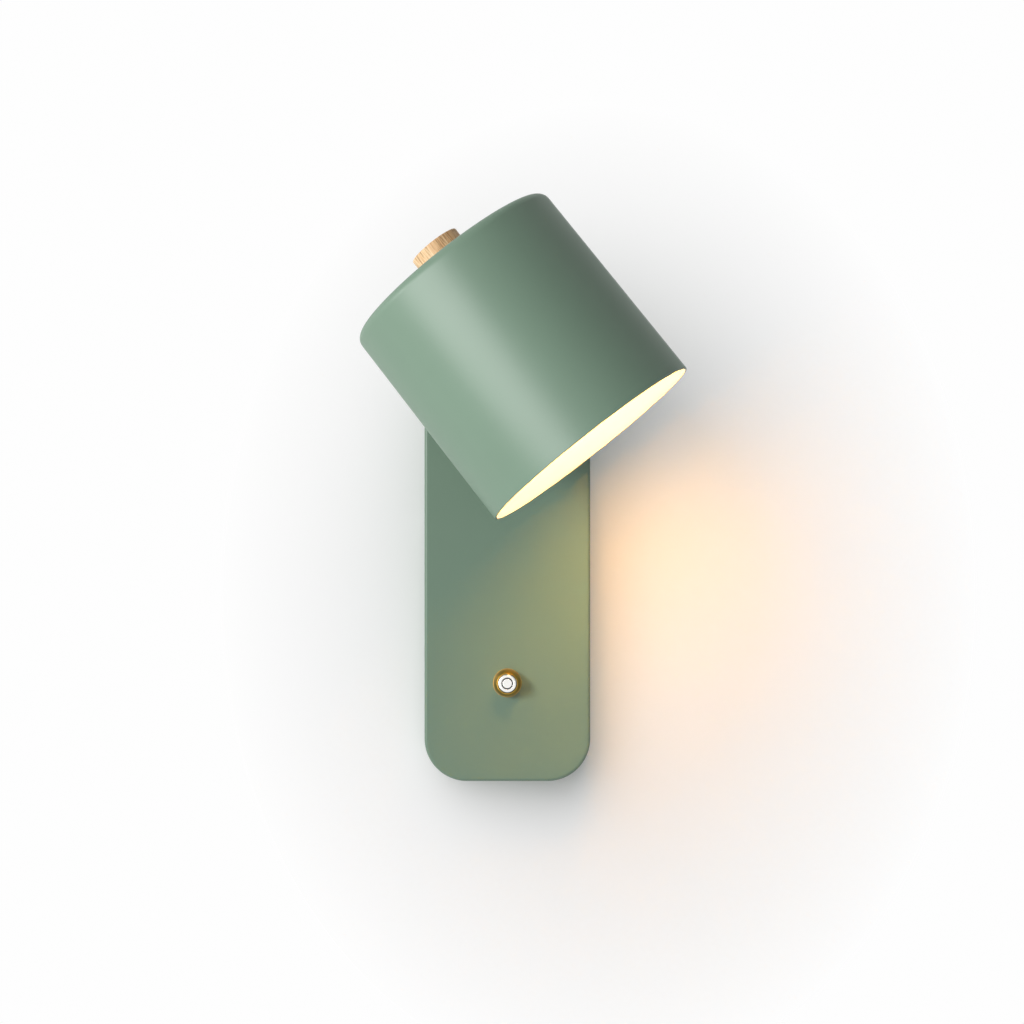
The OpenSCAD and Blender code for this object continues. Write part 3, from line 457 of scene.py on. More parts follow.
def opal_glass(tints):
    """A lit opal globe, brightest near the board in its neck."""
    material = grained("opal_glass", (0.9, 0.88, 0.83), cast_grain, 300.0, 0.05, 0.25, 0.00001,
                       spread=0.06)
    tree = material.node_tree
    shader = tree.nodes["Principled BSDF"]
    bulb = bpy.context.scene.lamp_stage.bulb
    height = add(tree, "ShaderNodeSeparateXYZ", Vector=own_place(tree)).outputs[2]
    dim_up_to = GLOBE_LOW.z + 0.25 * (GLOBE_HIGH.z - GLOBE_LOW.z)
    plug(tree, shader, "Emission Strength",
         ramped(tree, height, dim_up_to, GLOBE_HIGH.z, 0.4 * bulb, 2.2 * bulb))
    patches = ramped(tree, noise(tree, shared_place(tree), 60.0), 0.3, 0.7, 0.0, 0.12)
    paler = (1.0, 0.55, 0.16, 1.0)
    plug(tree, shader, "Emission Color", blended(tree, patches, opaque(tints.glow), paler))
    return material


def ash_wood(tints):
    """Ash with its fibres along the knob's axis: streaks on the side, rings on the face."""
    material, tree, shader = new_material("ash_wood")
    light, dark = opaque(tints.ash_light), opaque(tints.ash_dark)
    pore_colour = (0.34, 0.17, 0.06, 1.0)
    drawn_out = add(tree, "ShaderNodeMapping", Vector=own_place(tree),
                    Scale=(1.0, 1.0, 0.05)).outputs[0]
    broad = ramped(tree, noise(tree, drawn_out, 130.0, 1.0), 0.42, 0.62)
    band = ramped(tree, noise(tree, drawn_out, 700.0, 1.0), 0.55, 0.62)
    fibre = noise(tree, drawn_out, 2400.0, 2.0, 0.6)
    pore = ramped(tree, noise(tree, drawn_out, 1500.0, 2.0, 0.7), 0.55, 0.62)
    late = maths(tree, "MULTIPLY_ADD", broad, 0.45, maths(tree, "MULTIPLY", band, 0.35))
    bands = blended(tree, late, light, dark)
    fibres = blended(tree, ramped(tree, fibre, 0.35, 0.7, 0.0, 0.55), bands, dark)
    whole = blended(tree, maths(tree, "MULTIPLY", pore, 0.7), fibres, pore_colour)
    plug(tree, shader, "Base Color", whole)
    plug(tree, shader, "Roughness", ramped(tree, fibre, 0.3, 0.7, 0.42, 0.6))
    bumped(tree, shader, maths(tree, "SUBTRACT", fibre, maths(tree, "MULTIPLY", pore, 1.5)),
           0.00006)
    return material


OWN_FINISHES = {build.__name__: build for build in (sage_powder_coat, opal_glass, ash_wood)}


def finish_of(name):
    """A finish by its name, built once."""
    if name not in MADE:
        tints = bpy.context.scene.lamp_finishes
        if name in OWN_FINISHES:
            MADE[name] = OWN_FINISHES[name](tints)
        else:
            build, tint, *grain = PLAIN_FINISHES[name]
            rgb = getattr(tints, tint) if isinstance(tint, str) else tint
            MADE[name] = build(name, rgb, *grain)
    return MADE[name]


# Shapes

def in_scene(name, data):
    """A new object in the scene's own collection."""
    thing = bpy.data.objects.new(name, data)
    bpy.context.scene.collection.objects.link(thing)
    return thing


def mesh_of(shape, name):
    """A mesh from a bmesh, which is freed."""
    mesh = bpy.data.meshes.new(name)
    shape.to_mesh(mesh)
    shape.free()
    return mesh


def plain_mesh(thing):
    """The mesh of an object after its modifiers. The object is removed."""
    bpy.context.view_layer.update()
    evaluated = thing.evaluated_get(bpy.context.evaluated_depsgraph_get())
    mesh = bpy.data.meshes.new_from_object(evaluated)
    bpy.data.objects.remove(thing)
    return mesh


def rounded(outline, closed, steps=6):
    """Points of an outline. A third number on a point rounds that corner by that radius."""
    points = []
    count = len(outline)
    for i, point in enumerate(outline):
        corner = Vector(point[:2])
        at_end = not closed and i in (0, count - 1)
        if len(point) < 3 or at_end:
            points.append(corner)
            continue
        back = Vector(outline[i - 1][:2]) - corner
        on = Vector(outline[(i + 1) % count][:2]) - corner
        half = back.angle(on) / 2
        reach = min(point[2] / math.tan(half), 0.5 * back.length, 0.5 * on.length)
        radius = reach * math.tan(half)
        inwards = (back.normalized() + on.normalized()).normalized()
        centre = corner + inwards * radius / math.sin(half)
        first = corner + back.normalized() * reach - centre
        turn = first.angle_signed(corner + on.normalized() * reach - centre)
        for k in range(steps + 1):
            points.append(centre + Matrix.Rotation(-turn * k / steps, 2) @ first)
    return points


def turned(outline, segments=128, steps=6):
    """A mesh turned round local z from an outline of (radius, height) points.

    An outline whose ends lie on the axis is capped there, and any other is closed on itself.
    """
    closed = outline[0][0] > 0
    rings = []
    shape = bmesh.new()
    for point in rounded(outline, closed, steps):
        if point.x <= 0:
            rings.append([shape.verts.new((0, 0, point.y))] * segments)
            continue
        rings.append([
            shape.verts.new((point.x * math.cos(math.tau * k / segments),
                             point.x * math.sin(math.tau * k / segments), point.y))
            for k in range(segments)])
    for i in range(len(rings) if closed else len(rings) - 1):
        low, high = rings[i], rings[(i + 1) % len(rings)]
        for k in range(segments):
            corners = [low[k], low[(k + 1) % segments], high[(k + 1) % segments], high[k]]
            corners = list(dict.fromkeys(corners))
            if len(corners) > 2:
                shape.faces.new(corners)
    bmesh.ops.recalc_face_normals(shape, faces=shape.faces)
    return mesh_of(shape, "turned")


def worked(mesh, *modifiers):
    """The mesh after a stack of modifiers, each given as (type, settings)."""
    work = in_scene("work", mesh)
    for kind, settings in modifiers:
        modifier = work.modifiers.new(kind.title(), kind)
        for key, value in settings.items():
            setattr(modifier, key, value)
    return plain_mesh(work)


def cut(mesh, cutters):
    """The mesh less each cutter, given as (mesh, place)."""
    for tool, where in cutters:
        tool.transform(where)
        block = in_scene("cutter", tool)
        mesh = worked(mesh, ("BOOLEAN", {"operation": "DIFFERENCE", "solver": "EXACT",
                                         "object": block}))
        bpy.data.objects.remove(block)
    return mesh


def joined(*meshes):
    """Several meshes as one."""
    shape = bmesh.new()
    for mesh in meshes:
        shape.from_mesh(mesh)
    return mesh_of(shape, "joined")


def smooth(mesh, angle=30):
    mesh.shade_smooth()
    mesh.set_sharp_from_angle(angle=math.radians(angle))
    return mesh


def settled(mesh, angle=30):
    """The mesh shaded smooth, with its large flats kept flat beside rounded edges."""
    return worked(smooth(mesh, angle), ("WEIGHTED_NORMAL", {"keep_sharp": True, "weight": 100}))


def eased(width, segments=2):
    """A modifier entry that rounds every edge sharper than 35 degrees."""
    return ("BEVEL", {"width": width, "segments": segments, "limit_method": "ANGLE",
                      "angle_limit": math.radians(35), "miter_outer": "MITER_ARC",
                      "use_clamp_overlap": True, "harden_normals": False})


def finished(name, mesh, where, node, second=None, towards=None):
    """Puts a piece in place, for the node that it stands for and on its body.

    Faces with an index of 1 or more take the second finish. A piece that shortens towards a
    second body follows its own body at the low end, and the second at the high end.
    """
    low, high = (where @ Vector((0, 0, extreme(vertex.co.z for vertex in mesh.vertices)))
                 for extreme in (min, max))
    local = mesh.attributes.new("local", "FLOAT_VECTOR", "POINT")
    local.data.foreach_set("vector", [part for vertex in mesh.vertices for part in vertex.co])
    mesh.transform(where)
    body, slot = BODY_OF[node], SLOT_OF[node]
    sides = [min(face.material_index, 1) for face in mesh.polygons]
    mesh.materials.clear()
    mesh.materials.append(finish_of(slot))
    if second:
        mesh.materials.append(finish_of(second))
        mesh.polygons.foreach_set("material_index", sides)
    piece = in_scene(name, mesh)
    if towards:
        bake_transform(piece, body, towards, start=low, end=high)
    else:
        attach(piece, body)
    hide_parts(node)


def merged(node):
    """A bmesh of a node's shape, with its loose triangles joined."""
    shape = bmesh.new()
    shape.from_mesh(frame["nodes"][node].data)
    bmesh.ops.remove_doubles(shape, verts=shape.verts, dist=1e-6)
    return shape


def taken(node, where):
    """A node's shape in a local frame, with its flats made whole."""
    shape = merged(node)
    bmesh.ops.dissolve_limit(shape, angle_limit=math.radians(1), verts=shape.verts,
                             edges=shape.edges)
    bmesh.ops.transform(shape, matrix=where.inverted(), verts=shape.verts)
    mesh = mesh_of(shape, node)
    for name in [a.name for a in mesh.attributes if a.name == "custom_normal"]:
        mesh.attributes.remove(mesh.attributes[name])
    return mesh


def dress(where, segments=2, **edges):
    """Machined or moulded nodes with their edges rounded, each given with that radius."""
    for node, edge in edges.items():
        mesh = taken(node, where)
        if edge:
            mesh = worked(mesh, eased(edge, segments))
        finished(node + "_dressed", settled(mesh), where, node)


# Geometry node trees

def grower(name, **sizes):
    """A geometry tree whose named inputs are these sizes and a material."""
    inputs = {key.replace("_", " "): value for key, value in sizes.items()}
    shape = {"Geometry": "NodeSocketGeometry"}
    return group_tree(name, "GeometryNodeTree",
                      {**shape, **inputs, "Material": "NodeSocketMaterial"}, shape)


def end_tree(tree, given, out, geometry):
    real = add(tree, "GeometryNodeRealizeInstances", Geometry=geometry)
    painted = add(tree, "GeometryNodeSetMaterial", Geometry=real.outputs[0],
                  Material=given["Material"])
    plug(tree, out, "Geometry", painted.outputs[0])
    return tree


def wound_tree():
    """A helix of round or pointed section, for springs and threads."""
    tree, given, out = grower("Wound section", Radius=0.003, Height=0.01, Turns=5.0,
                              Section=0.0003, Sides=8, Steps=48)
    helix = add(tree, "GeometryNodeCurveSpiral", Resolution=given["Steps"],
                Rotations=given["Turns"], Start_Radius=given["Radius"],
                End_Radius=given["Radius"], Height=given["Height"])
    section = add(tree, "GeometryNodeCurvePrimitiveCircle", Resolution=given["Sides"],
                  Radius=given["Section"])
    tube = add(tree, "GeometryNodeCurveToMesh", Curve=helix.outputs[0],
               Profile_Curve=section.outputs[0], Fill_Caps=True)
    return end_tree(tree, given, out, tube.outputs[0])


def screw_tree():
    """Slotted screws in columns and rows, their tops at z = 0."""
    tree, given, out = grower("Slotted screws", Columns=3, Rows=2, Column_pitch=0.009,
                              Row_pitch=0.007, Radius=0.0014, Length=0.006, Slot_width=0.0005,
                              Slot_depth=0.0006)

    def times(value, by):
        return maths(tree, "MULTIPLY", value, by)

    def spread(count, pitch):
        return times(maths(tree, "SUBTRACT", given[count], 1.0), given[pitch])

    grid = add(tree, "GeometryNodeMeshGrid", Size_X=spread("Columns", "Column pitch"),
               Size_Y=spread("Rows", "Row pitch"), Vertices_X=given["Columns"],
               Vertices_Y=given["Rows"])
    shank = add(tree, "GeometryNodeMeshCylinder", Vertices=32, Radius=given["Radius"],
                Depth=given["Length"])
    sunk = add(tree, "ShaderNodeCombineXYZ", Z=times(given["Length"], -0.5))
    seated = add(tree, "GeometryNodeTransform", Geometry=shank.outputs[0],
                 Translation=sunk.outputs[0])
    size = add(tree, "ShaderNodeCombineXYZ", X=times(given["Radius"], 3.0),
               Y=given["Slot width"], Z=times(given["Slot depth"], 2.0))
    blade = add(tree, "GeometryNodeMeshCube", Size=size.outputs[0])
    slotted = add(tree, "GeometryNodeMeshBoolean", {"operation": "DIFFERENCE"},
                  Mesh_1=seated.outputs[0], Mesh_2=blade.outputs[0])
    screws = add(tree, "GeometryNodeInstanceOnPoints", Points=grid.outputs[0],
                 Instance=slotted.outputs[0])
    return end_tree(tree, given, out, screws.outputs[0])


def grown(build, node, **sizes):
    """The plain mesh that a geometry tree makes with these sizes, in a node's finish."""
    tree = shared_group(build)
    seed = in_scene("seed", bpy.data.meshes.new("seed"))
    modifier = seed.modifiers.new("Nodes", "NODES")
    modifier.node_group = tree
    named = {item.name: item.identifier for item in tree.interface.items_tree
             if item.item_type == "SOCKET" and item.in_out == "INPUT"}
    for key, value in sizes.items():
        modifier[named[key.replace("_", " ")]] = value
    modifier[named["Material"]] = finish_of(SLOT_OF[node])
    return plain_mesh(seed)


def thread(node, radius, low, high, pitch, depth):
    """A thread's ridge, half sunk in a shank of this radius."""
    mesh = grown(wound_tree, node, Radius=radius, Height=high - low, Turns=(high - low) / pitch,
                 Section=depth, Sides=6, Steps=40)
    mesh.transform(Matrix.Translation((0, 0, low)))
    return mesh


# Operators, one for each piece or group of like pieces

class Maker:
    """What the operators share: they work on the scene in object mode and can be undone."""
    bl_options = {"REGISTER", "UNDO"}


class LAMP_OT_back_plate(Maker, bpy.types.Operator):
    """Press the back plate's tray, with its holes for the switch, the swivel and the screws"""
    bl_idname = "lamp.back_plate"
    bl_label = "Back plate"

    def execute(self, context):
        sizes = context.scene.lamp_plate
        mesh = worked(self.tray(sizes), ("SOLIDIFY", {
            "thickness": sizes.wall, "offset": -1, "use_even_offset": True,
            "use_quality_normals": True}))
        mesh = cut(mesh, self.holes(sizes))
        finished("back_plate", settled(mesh, 40), AT_WALL, "front_cover")
        return {"FINISHED"}

    def tray(self, sizes):
        """The outer skin: the outline lofted up the sides, round the edge and over the front."""
        front, hem, margin, steps = PLATE_HIGH.z, 0.0004, 0.0008, 6
        levels = [(0.0, 0.0), (0.0, hem), (0.0, front - sizes.edge)]
        for k in range(1, steps + 1):
            angle = math.radians(90 * k / steps)
            levels.append((sizes.edge * (1 - math.cos(angle)),
                           front - sizes.edge * (1 - math.sin(angle))))
        levels.append((sizes.edge + margin, front))
        shape = bmesh.new()
        rings = [[shape.verts.new((x, y, height)) for x, y in self.outline(sizes, inset)]
                 for inset, height in levels]
        count = len(rings[0])
        for low, high in zip(rings, rings[1:]):
            for k in range(count):
                shape.faces.new((low[k], low[(k + 1) % count], high[(k + 1) % count], high[k]))
        shape.faces.new(rings[-1])
        return mesh_of(shape, "tray")

    def outline(self, sizes, inset):
        """A rectangle with round corners, drawn in by inset."""
        steps = 24
        radius = sizes.corner - inset
        for turn, (sx, sy) in enumerate(((1, 1), (-1, 1), (-1, -1), (1, -1))):
            centre = (sx * (PLATE_HIGH.x - sizes.corner), sy * (PLATE_HIGH.y - sizes.corner))
            for k in range(steps + 1):
                angle = math.radians(90 * (turn + k / steps))
                yield (centre[0] + radius * math.cos(angle), centre[1] + radius * math.sin(angle))

    def holes(self, sizes):
        front = PLATE_HIGH.z
        reach = 2 * sizes.wall

        def drill(radius, top_radius=None):
            top = radius if top_radius is None else top_radius
            return turned([(0, -reach), (radius, -reach), (radius, -sizes.wall),
                           (top, 0), (top, reach), (0, reach)], 64)

        fit = 0.00005
        screw = middle("cover_screws")
        yield drill(BASE_SHANK_R + fit), Matrix.Translation((0, PIVOT.z, front))
        yield (drill(bpy.context.scene.lamp_switch.shank + fit),
               Matrix.Translation((0, AT_SWITCH.translation.z, front)))
        for side in (-1, 1):
            where = Matrix.Translation((side * PLATE_HIGH.x, screw.z, -screw.y))
            yield (drill(sizes.screw + fit, sizes.screw + sizes.wall + fit),
                   where @ Matrix.Rotation(side * math.radians(90), 4, "Y"))


class LAMP_OT_shade(Maker, bpy.types.Operator):
    """Spin the drum shade, white inside, with its rolled top edge"""
    bl_idname = "lamp.shade"
    bl_label = "Shade"

    def execute(self, context):
        sizes = context.scene.lamp_shade
        mouth, low, high = SHADE_HIGH.x, SHADE_LOW.z, SHADE_HIGH.z
        wall, lip = sizes.wall, sizes.lip
        outline = [
            (mouth, low, lip), (sizes.top, high, sizes.edge), (sizes.nipple_hole, high, lip),
            (sizes.nipple_hole, high - wall, lip),
            (sizes.top - wall, high - wall, sizes.edge - wall),
            (mouth - wall, low, lip)]
        mesh = turned(outline, 256, 10)
        near, far = 0.7 * mouth, 1.2 * mouth
        stem = turned([(0, near), (sizes.stem_hole, near), (sizes.stem_hole, far), (0, far)], 64)
        towards_knuckle = Matrix.Rotation(math.radians(-90), 4, "X")
        mesh = cut(mesh, [(stem, towards_knuckle)])
        for face in mesh.polygons:
            inwards = face.normal.xy.dot(face.center.xy.normalized()) < -0.1
            ceiling = face.normal.z < -0.5 and face.center.z > low + wall
            face.material_index = int(inwards or ceiling)
        finished("drum_shade", smooth(mesh), ON_SHADE, "shade", second="white_enamel")
        return {"FINISHED"}


class LAMP_OT_knob(Maker, bpy.types.Operator):
    """Turn the ash knob and its brass insert"""
    bl_idname = "lamp.knob"
    bl_label = "Knob"

    def execute(self, context):
        sizes = context.scene.lamp_knob
        foot, base, face = KNOB_HIGH.x, KNOB_LOW.z, KNOB_HIGH.z + sizes.rise
        floor, foot_edge, crown = base + sizes.bore_depth, 0.0003, 0.0001
        mesh = turned([
            (0, floor), (sizes.bore, floor), (sizes.bore, base), (foot, base, foot_edge),
            (sizes.tip, face, sizes.edge), (sizes.tip * 0.6, face + crown / 2),
            (0, face + crown)], 160, 8)
        finished("ash_knob", smooth(mesh), ON_SHADE, "wood_knob")
        dress(ON_SHADE, knob_insert=0.0002)
        return {"FINISHED"}


class LAMP_OT_switch(Maker, bpy.types.Operator):
    """Turn the switch's collar and button, and dress the body behind the plate"""
    bl_idname = "lamp.switch"
    bl_label = "Switch"

    def execute(self, context):
        sizes = context.scene.lamp_switch
        self.collar(sizes)
        self.button(sizes)
        dress(AT_SWITCH, switch_washer=0.0001, switch_nut=0.0003)
        dress(AT_SWITCH, 3, switch_body=0.0005)
        dress(AT_SWITCH, switch_tags=0.0001)
        self.spring()
        return {"FINISHED"}

    def collar(self, sizes):
        """A dome on a thin rim, with the threaded shank behind. The bore's wall above the step is black, as
        painted shade for the dark gap round the button.
        """
        plate, top, back = PLATE_HIGH.z, COLLAR_HIGH.z, COLLAR_LOW.z
        bore = BUTTON_R + sizes.gap
        tip = bore + sizes.tip_wall
        shoulder = BUTTON_HIGH.x + sizes.gap
        dome_base, step = plate + sizes.rim, plate - sizes.step
        soft, steps, brow = 0.0002, 12, math.radians(38)
        foot = sizes.collar - soft
        dome = []
        for k in range(1, steps):
            angle = brow * k / steps
            dome.append((tip + (foot - tip) * (math.cos(angle) - math.cos(brow))
                         / (1 - math.cos(brow)),
                         dome_base + (top - dome_base) * math.sin(angle) / math.sin(brow)))
        mesh = turned([
            (shoulder, back, soft), (sizes.shank, back, 0.0003), (sizes.shank, plate),
            (sizes.collar, plate, soft), (sizes.collar, dome_base, soft), (foot, dome_base)]
            + dome + [(tip, top, soft), (bore, top, soft), (bore, step), (shoulder, step)], 144, 4)
        # Painted shade: the bore's wall between the step and the rim takes the black finish, to look like the dark
        # gap round the button
        for face in mesh.polygons:
            bore_shade = abs(face.center.xy.length - bore) < 0.0001
            face.material_index = int(bore_shade and step < face.center.z < top - soft)
        ridge = thread("switch_bezel", sizes.shank, back + 0.0005, plate - 0.0045,
                       pitch=0.00075, depth=0.00028)
        finished("switch_collar", smooth(joined(mesh, ridge)), AT_SWITCH, "switch_bezel",
                 second="black_rubber")

    def button(self, sizes):
        """A polished button whose face has a ring cut in it, its floor black as painted shade in the cut."""
        face, low = BUTTON_HIGH.z, BUTTON_LOW.z
        radius, shoulder = BUTTON_R, BUTTON_HIGH.x
        plunger = measured("switch_button", AT_SWITCH, below=low + 0.001)[1].x
        shoulder_top = PLATE_HIGH.z - sizes.step
        shoulder_low = shoulder_top - sizes.shoulder
        outer, inner = sizes.groove, sizes.groove - sizes.groove_width
        floor = face - sizes.groove_depth
        soft, lip, near = 0.0002, 0.00012, 0.0001
        mesh = turned([
            (0, low), (plunger, low, 0.0004), (plunger, shoulder_low),
            (shoulder, shoulder_low, soft), (shoulder, shoulder_top, soft),
            (radius, shoulder_top), (radius, face, 0.0007), (outer, face, lip),
            (outer, floor, near), (inner, floor, near), (inner, face - 0.00005, soft),
            (0.0009, face - 0.00022), (0, face - 0.00024)], 144, 6)
        # Painted shade: the floor of the ring cut takes the black finish, for the dark inside of the cut
        for ring in mesh.polygons:
            sunk = floor - near < ring.center.z < face - 0.4 * sizes.groove_depth
            within = inner - near < ring.center.xy.length < outer + near
            ring.material_index = int(sunk and within)
        mesh.transform(Matrix.Translation((0, sizes.high, 0)))
        finished("push_button", smooth(mesh), AT_SWITCH, "switch_button", second="black_rubber")

    def spring(self):
        low, high = measured("switch_spring", AT_SWITCH)
        wire = 0.0003
        mesh = grown(wound_tree, "switch_spring", Radius=high.x - wire,
                     Height=high.z - low.z - 2 * wire, Turns=5.0, Section=wire, Sides=12, Steps=48)
        mesh.transform(Matrix.Translation((0, 0, low.z + wire)))
        finished("return_spring", smooth(mesh, 60), AT_SWITCH, "switch_spring", towards="button")


class LAMP_OT_knuckle(Maker, bpy.types.Operator):
    """Turn and mill the brass knuckle: fixed base, swivelling fork and tilting tongue"""
    bl_idname = "lamp.knuckle"
    bl_label = "Knuckle"

    def execute(self, context):
        dress(AT_BASE, swivel_base=0.0003, base_washer=0.0001, base_nut=0.0003, stop_pin=0.0001)
        dress(IN_SWIVEL, swivel_post=0.0003, friction_washer=0.0001, thrust_washer=0.0001,
              post_circlip=0.0001)
        dress(ON_PIVOT, pivot_screws=0.00015, pivot_washers=0.0001)
        dress(IN_HEAD, tilt_tongue=0.0003, saddle_washer=0.0001, shade_nut=0.0003)
        return {"FINISHED"}


class LAMP_OT_lampholder(Maker, bpy.types.Operator):
    """Mould the lampholder and dress its metal parts"""
    bl_idname = "lamp.lampholder"
    bl_label = "Lampholder"

    def execute(self, context):
        dress(ON_SHADE, holder_nipple=0.0002, holder_cap=0.0005, holder_body=0.0005,
              holder_core=0.0005, holder_terminals=0.0003, holder_sleeve=0,
              holder_contact=0.0001, earth_tag=0.0001)
        return {"FINISHED"}


class LAMP_OT_bulb(Maker, bpy.types.Operator):
    """Blow the bulb's opal globe and press its screw cap"""
    bl_idname = "lamp.bulb"
    bl_label = "Bulb"

    def execute(self, context):
        self.globe()
        self.housing()
        self.cap()
        dress(ON_SHADE, 4, bulb_tip=0.0006)
        return {"FINISHED"}

    def globe(self):
        """A ball cut off where it meets the housing."""
        radius, wall, steps = GLOBE_HIGH.x, 0.001, 40
        centre = GLOBE_LOW.z + radius

        def arc(r):
            start = math.asin((HOUSING_LOW.z - centre) / r)
            angles = [start - (math.pi / 2 + start) * k / steps for k in range(steps)]
            return [(r * math.cos(a), centre + r * math.sin(a)) for a in angles]

        outline = [(0, centre - radius + wall)] + arc(radius - wall)[::-1]
        outline += arc(radius) + [(0, centre - radius)]
        finished("opal_globe", smooth(turned(outline, 128), 60), ON_SHADE, "bulb_globe")

    def housing(self):
        """A neck that opens smoothly from the cap to the globe."""
        joint, neck = HOUSING_HIGH.x, CAP_HIGH.x
        low, high = HOUSING_LOW.z, HOUSING_HIGH.z
        steps = 24
        side = [(neck + (joint - neck) * math.sin(math.radians(90 * k / steps)),
                 high - (high - low) * k / steps) for k in range(steps + 1)]
        mesh = turned([(0, high)] + side + [(0, low)], 128)
        finished("bulb_housing_dressed", smooth(mesh), ON_SHADE, "bulb_housing")

    def cap(self):
        """A thin pressed cap with a round thread."""
        radius, low, high = CAP_HIGH.x, CAP_LOW.z, CAP_HIGH.z
        neck, shoulder, wall = 0.006, 0.005, 0.0006
        mesh = turned([
            (0, high - wall), (neck - wall, high - wall), (radius - wall, high - shoulder - wall),
            (radius - wall, low), (radius, low), (radius, high - shoulder, 0.002),
            (neck, high, 0.001), (0, high)], 96)
        ridge = thread("bulb_cap", radius - 0.0003, low + 0.003, high - shoulder - 0.001,
                       pitch=0.0036, depth=0.0009)
        finished("screw_cap", smooth(joined(mesh, ridge), 50), ON_SHADE, "bulb_cap")


class LAMP_OT_fixings(Maker, bpy.types.Operator):
    """Dress the bracket, the cable entry, the terminal block and the screws"""
    bl_idname = "lamp.fixings"
    bl_label = "Fixings"

    def execute(self, context):
        dress(AT_WALL, wall_bracket=0.0002, cover_screws=0.0001)
        dress(AT_GROMMET, cable_grommet=0.0003)
        dress(AT_BLOCK, terminal_block=0.0004, terminal_tubes=0.0001)
        dress(AT_WALL, block_screw=0.0001, earth_screw=0.0002)
        self.clamp_screws()
        return {"FINISHED"}

    def clamp_screws(self):
        """Slotted screws in the terminal block, two for each of its three ways."""
        low, high = measured("terminal_screws", AT_BLOCK)
        radius = 0.0014
        mesh = grown(screw_tree, "terminal_screws", Columns=3, Rows=2,
                     Column_pitch=(high.x - low.x - 2 * radius) / 2,
                     Row_pitch=high.y - low.y - 2 * radius, Radius=radius, Length=high.z - low.z,
                     Slot_width=0.0005, Slot_depth=0.0006)
        mesh.transform(Matrix.Translation(((low.x + high.x) / 2, (low.y + high.y) / 2, high.z)))
        mesh = worked(mesh, eased(0.00012))
        finished("clamp_screws", settled(mesh), AT_BLOCK, "terminal_screws")


class LAMP_OT_wires(Maker, bpy.types.Operator):
    """Round off the insulated wires"""
    bl_idname = "lamp.wires"
    bl_label = "Wires"

    def execute(self, context):
        # Smoothing draws a wire in, and the swell puts that back
        any_angle, swell = 3.1, 0.00012
        for node in ("live_lead", "switched_lead", "neutral_lead", "earth_lead", "holder_leads",
                     "head_earth_lead"):
            shape = merged(node)
            bmesh.ops.join_triangles(shape, faces=shape.faces, angle_face_threshold=any_angle,
                                     angle_shape_threshold=any_angle)
            mesh = worked(mesh_of(shape, node), ("SUBSURF", {"levels": 2, "render_levels": 2}),
                          ("DISPLACE", {"strength": swell, "mid_level": 0}))
            finished(node + "_dressed", smooth(mesh, 60), Matrix.Identity(4), node)
        dress(IN_SWIVEL, stem_leads=0)
        return {"FINISHED"}


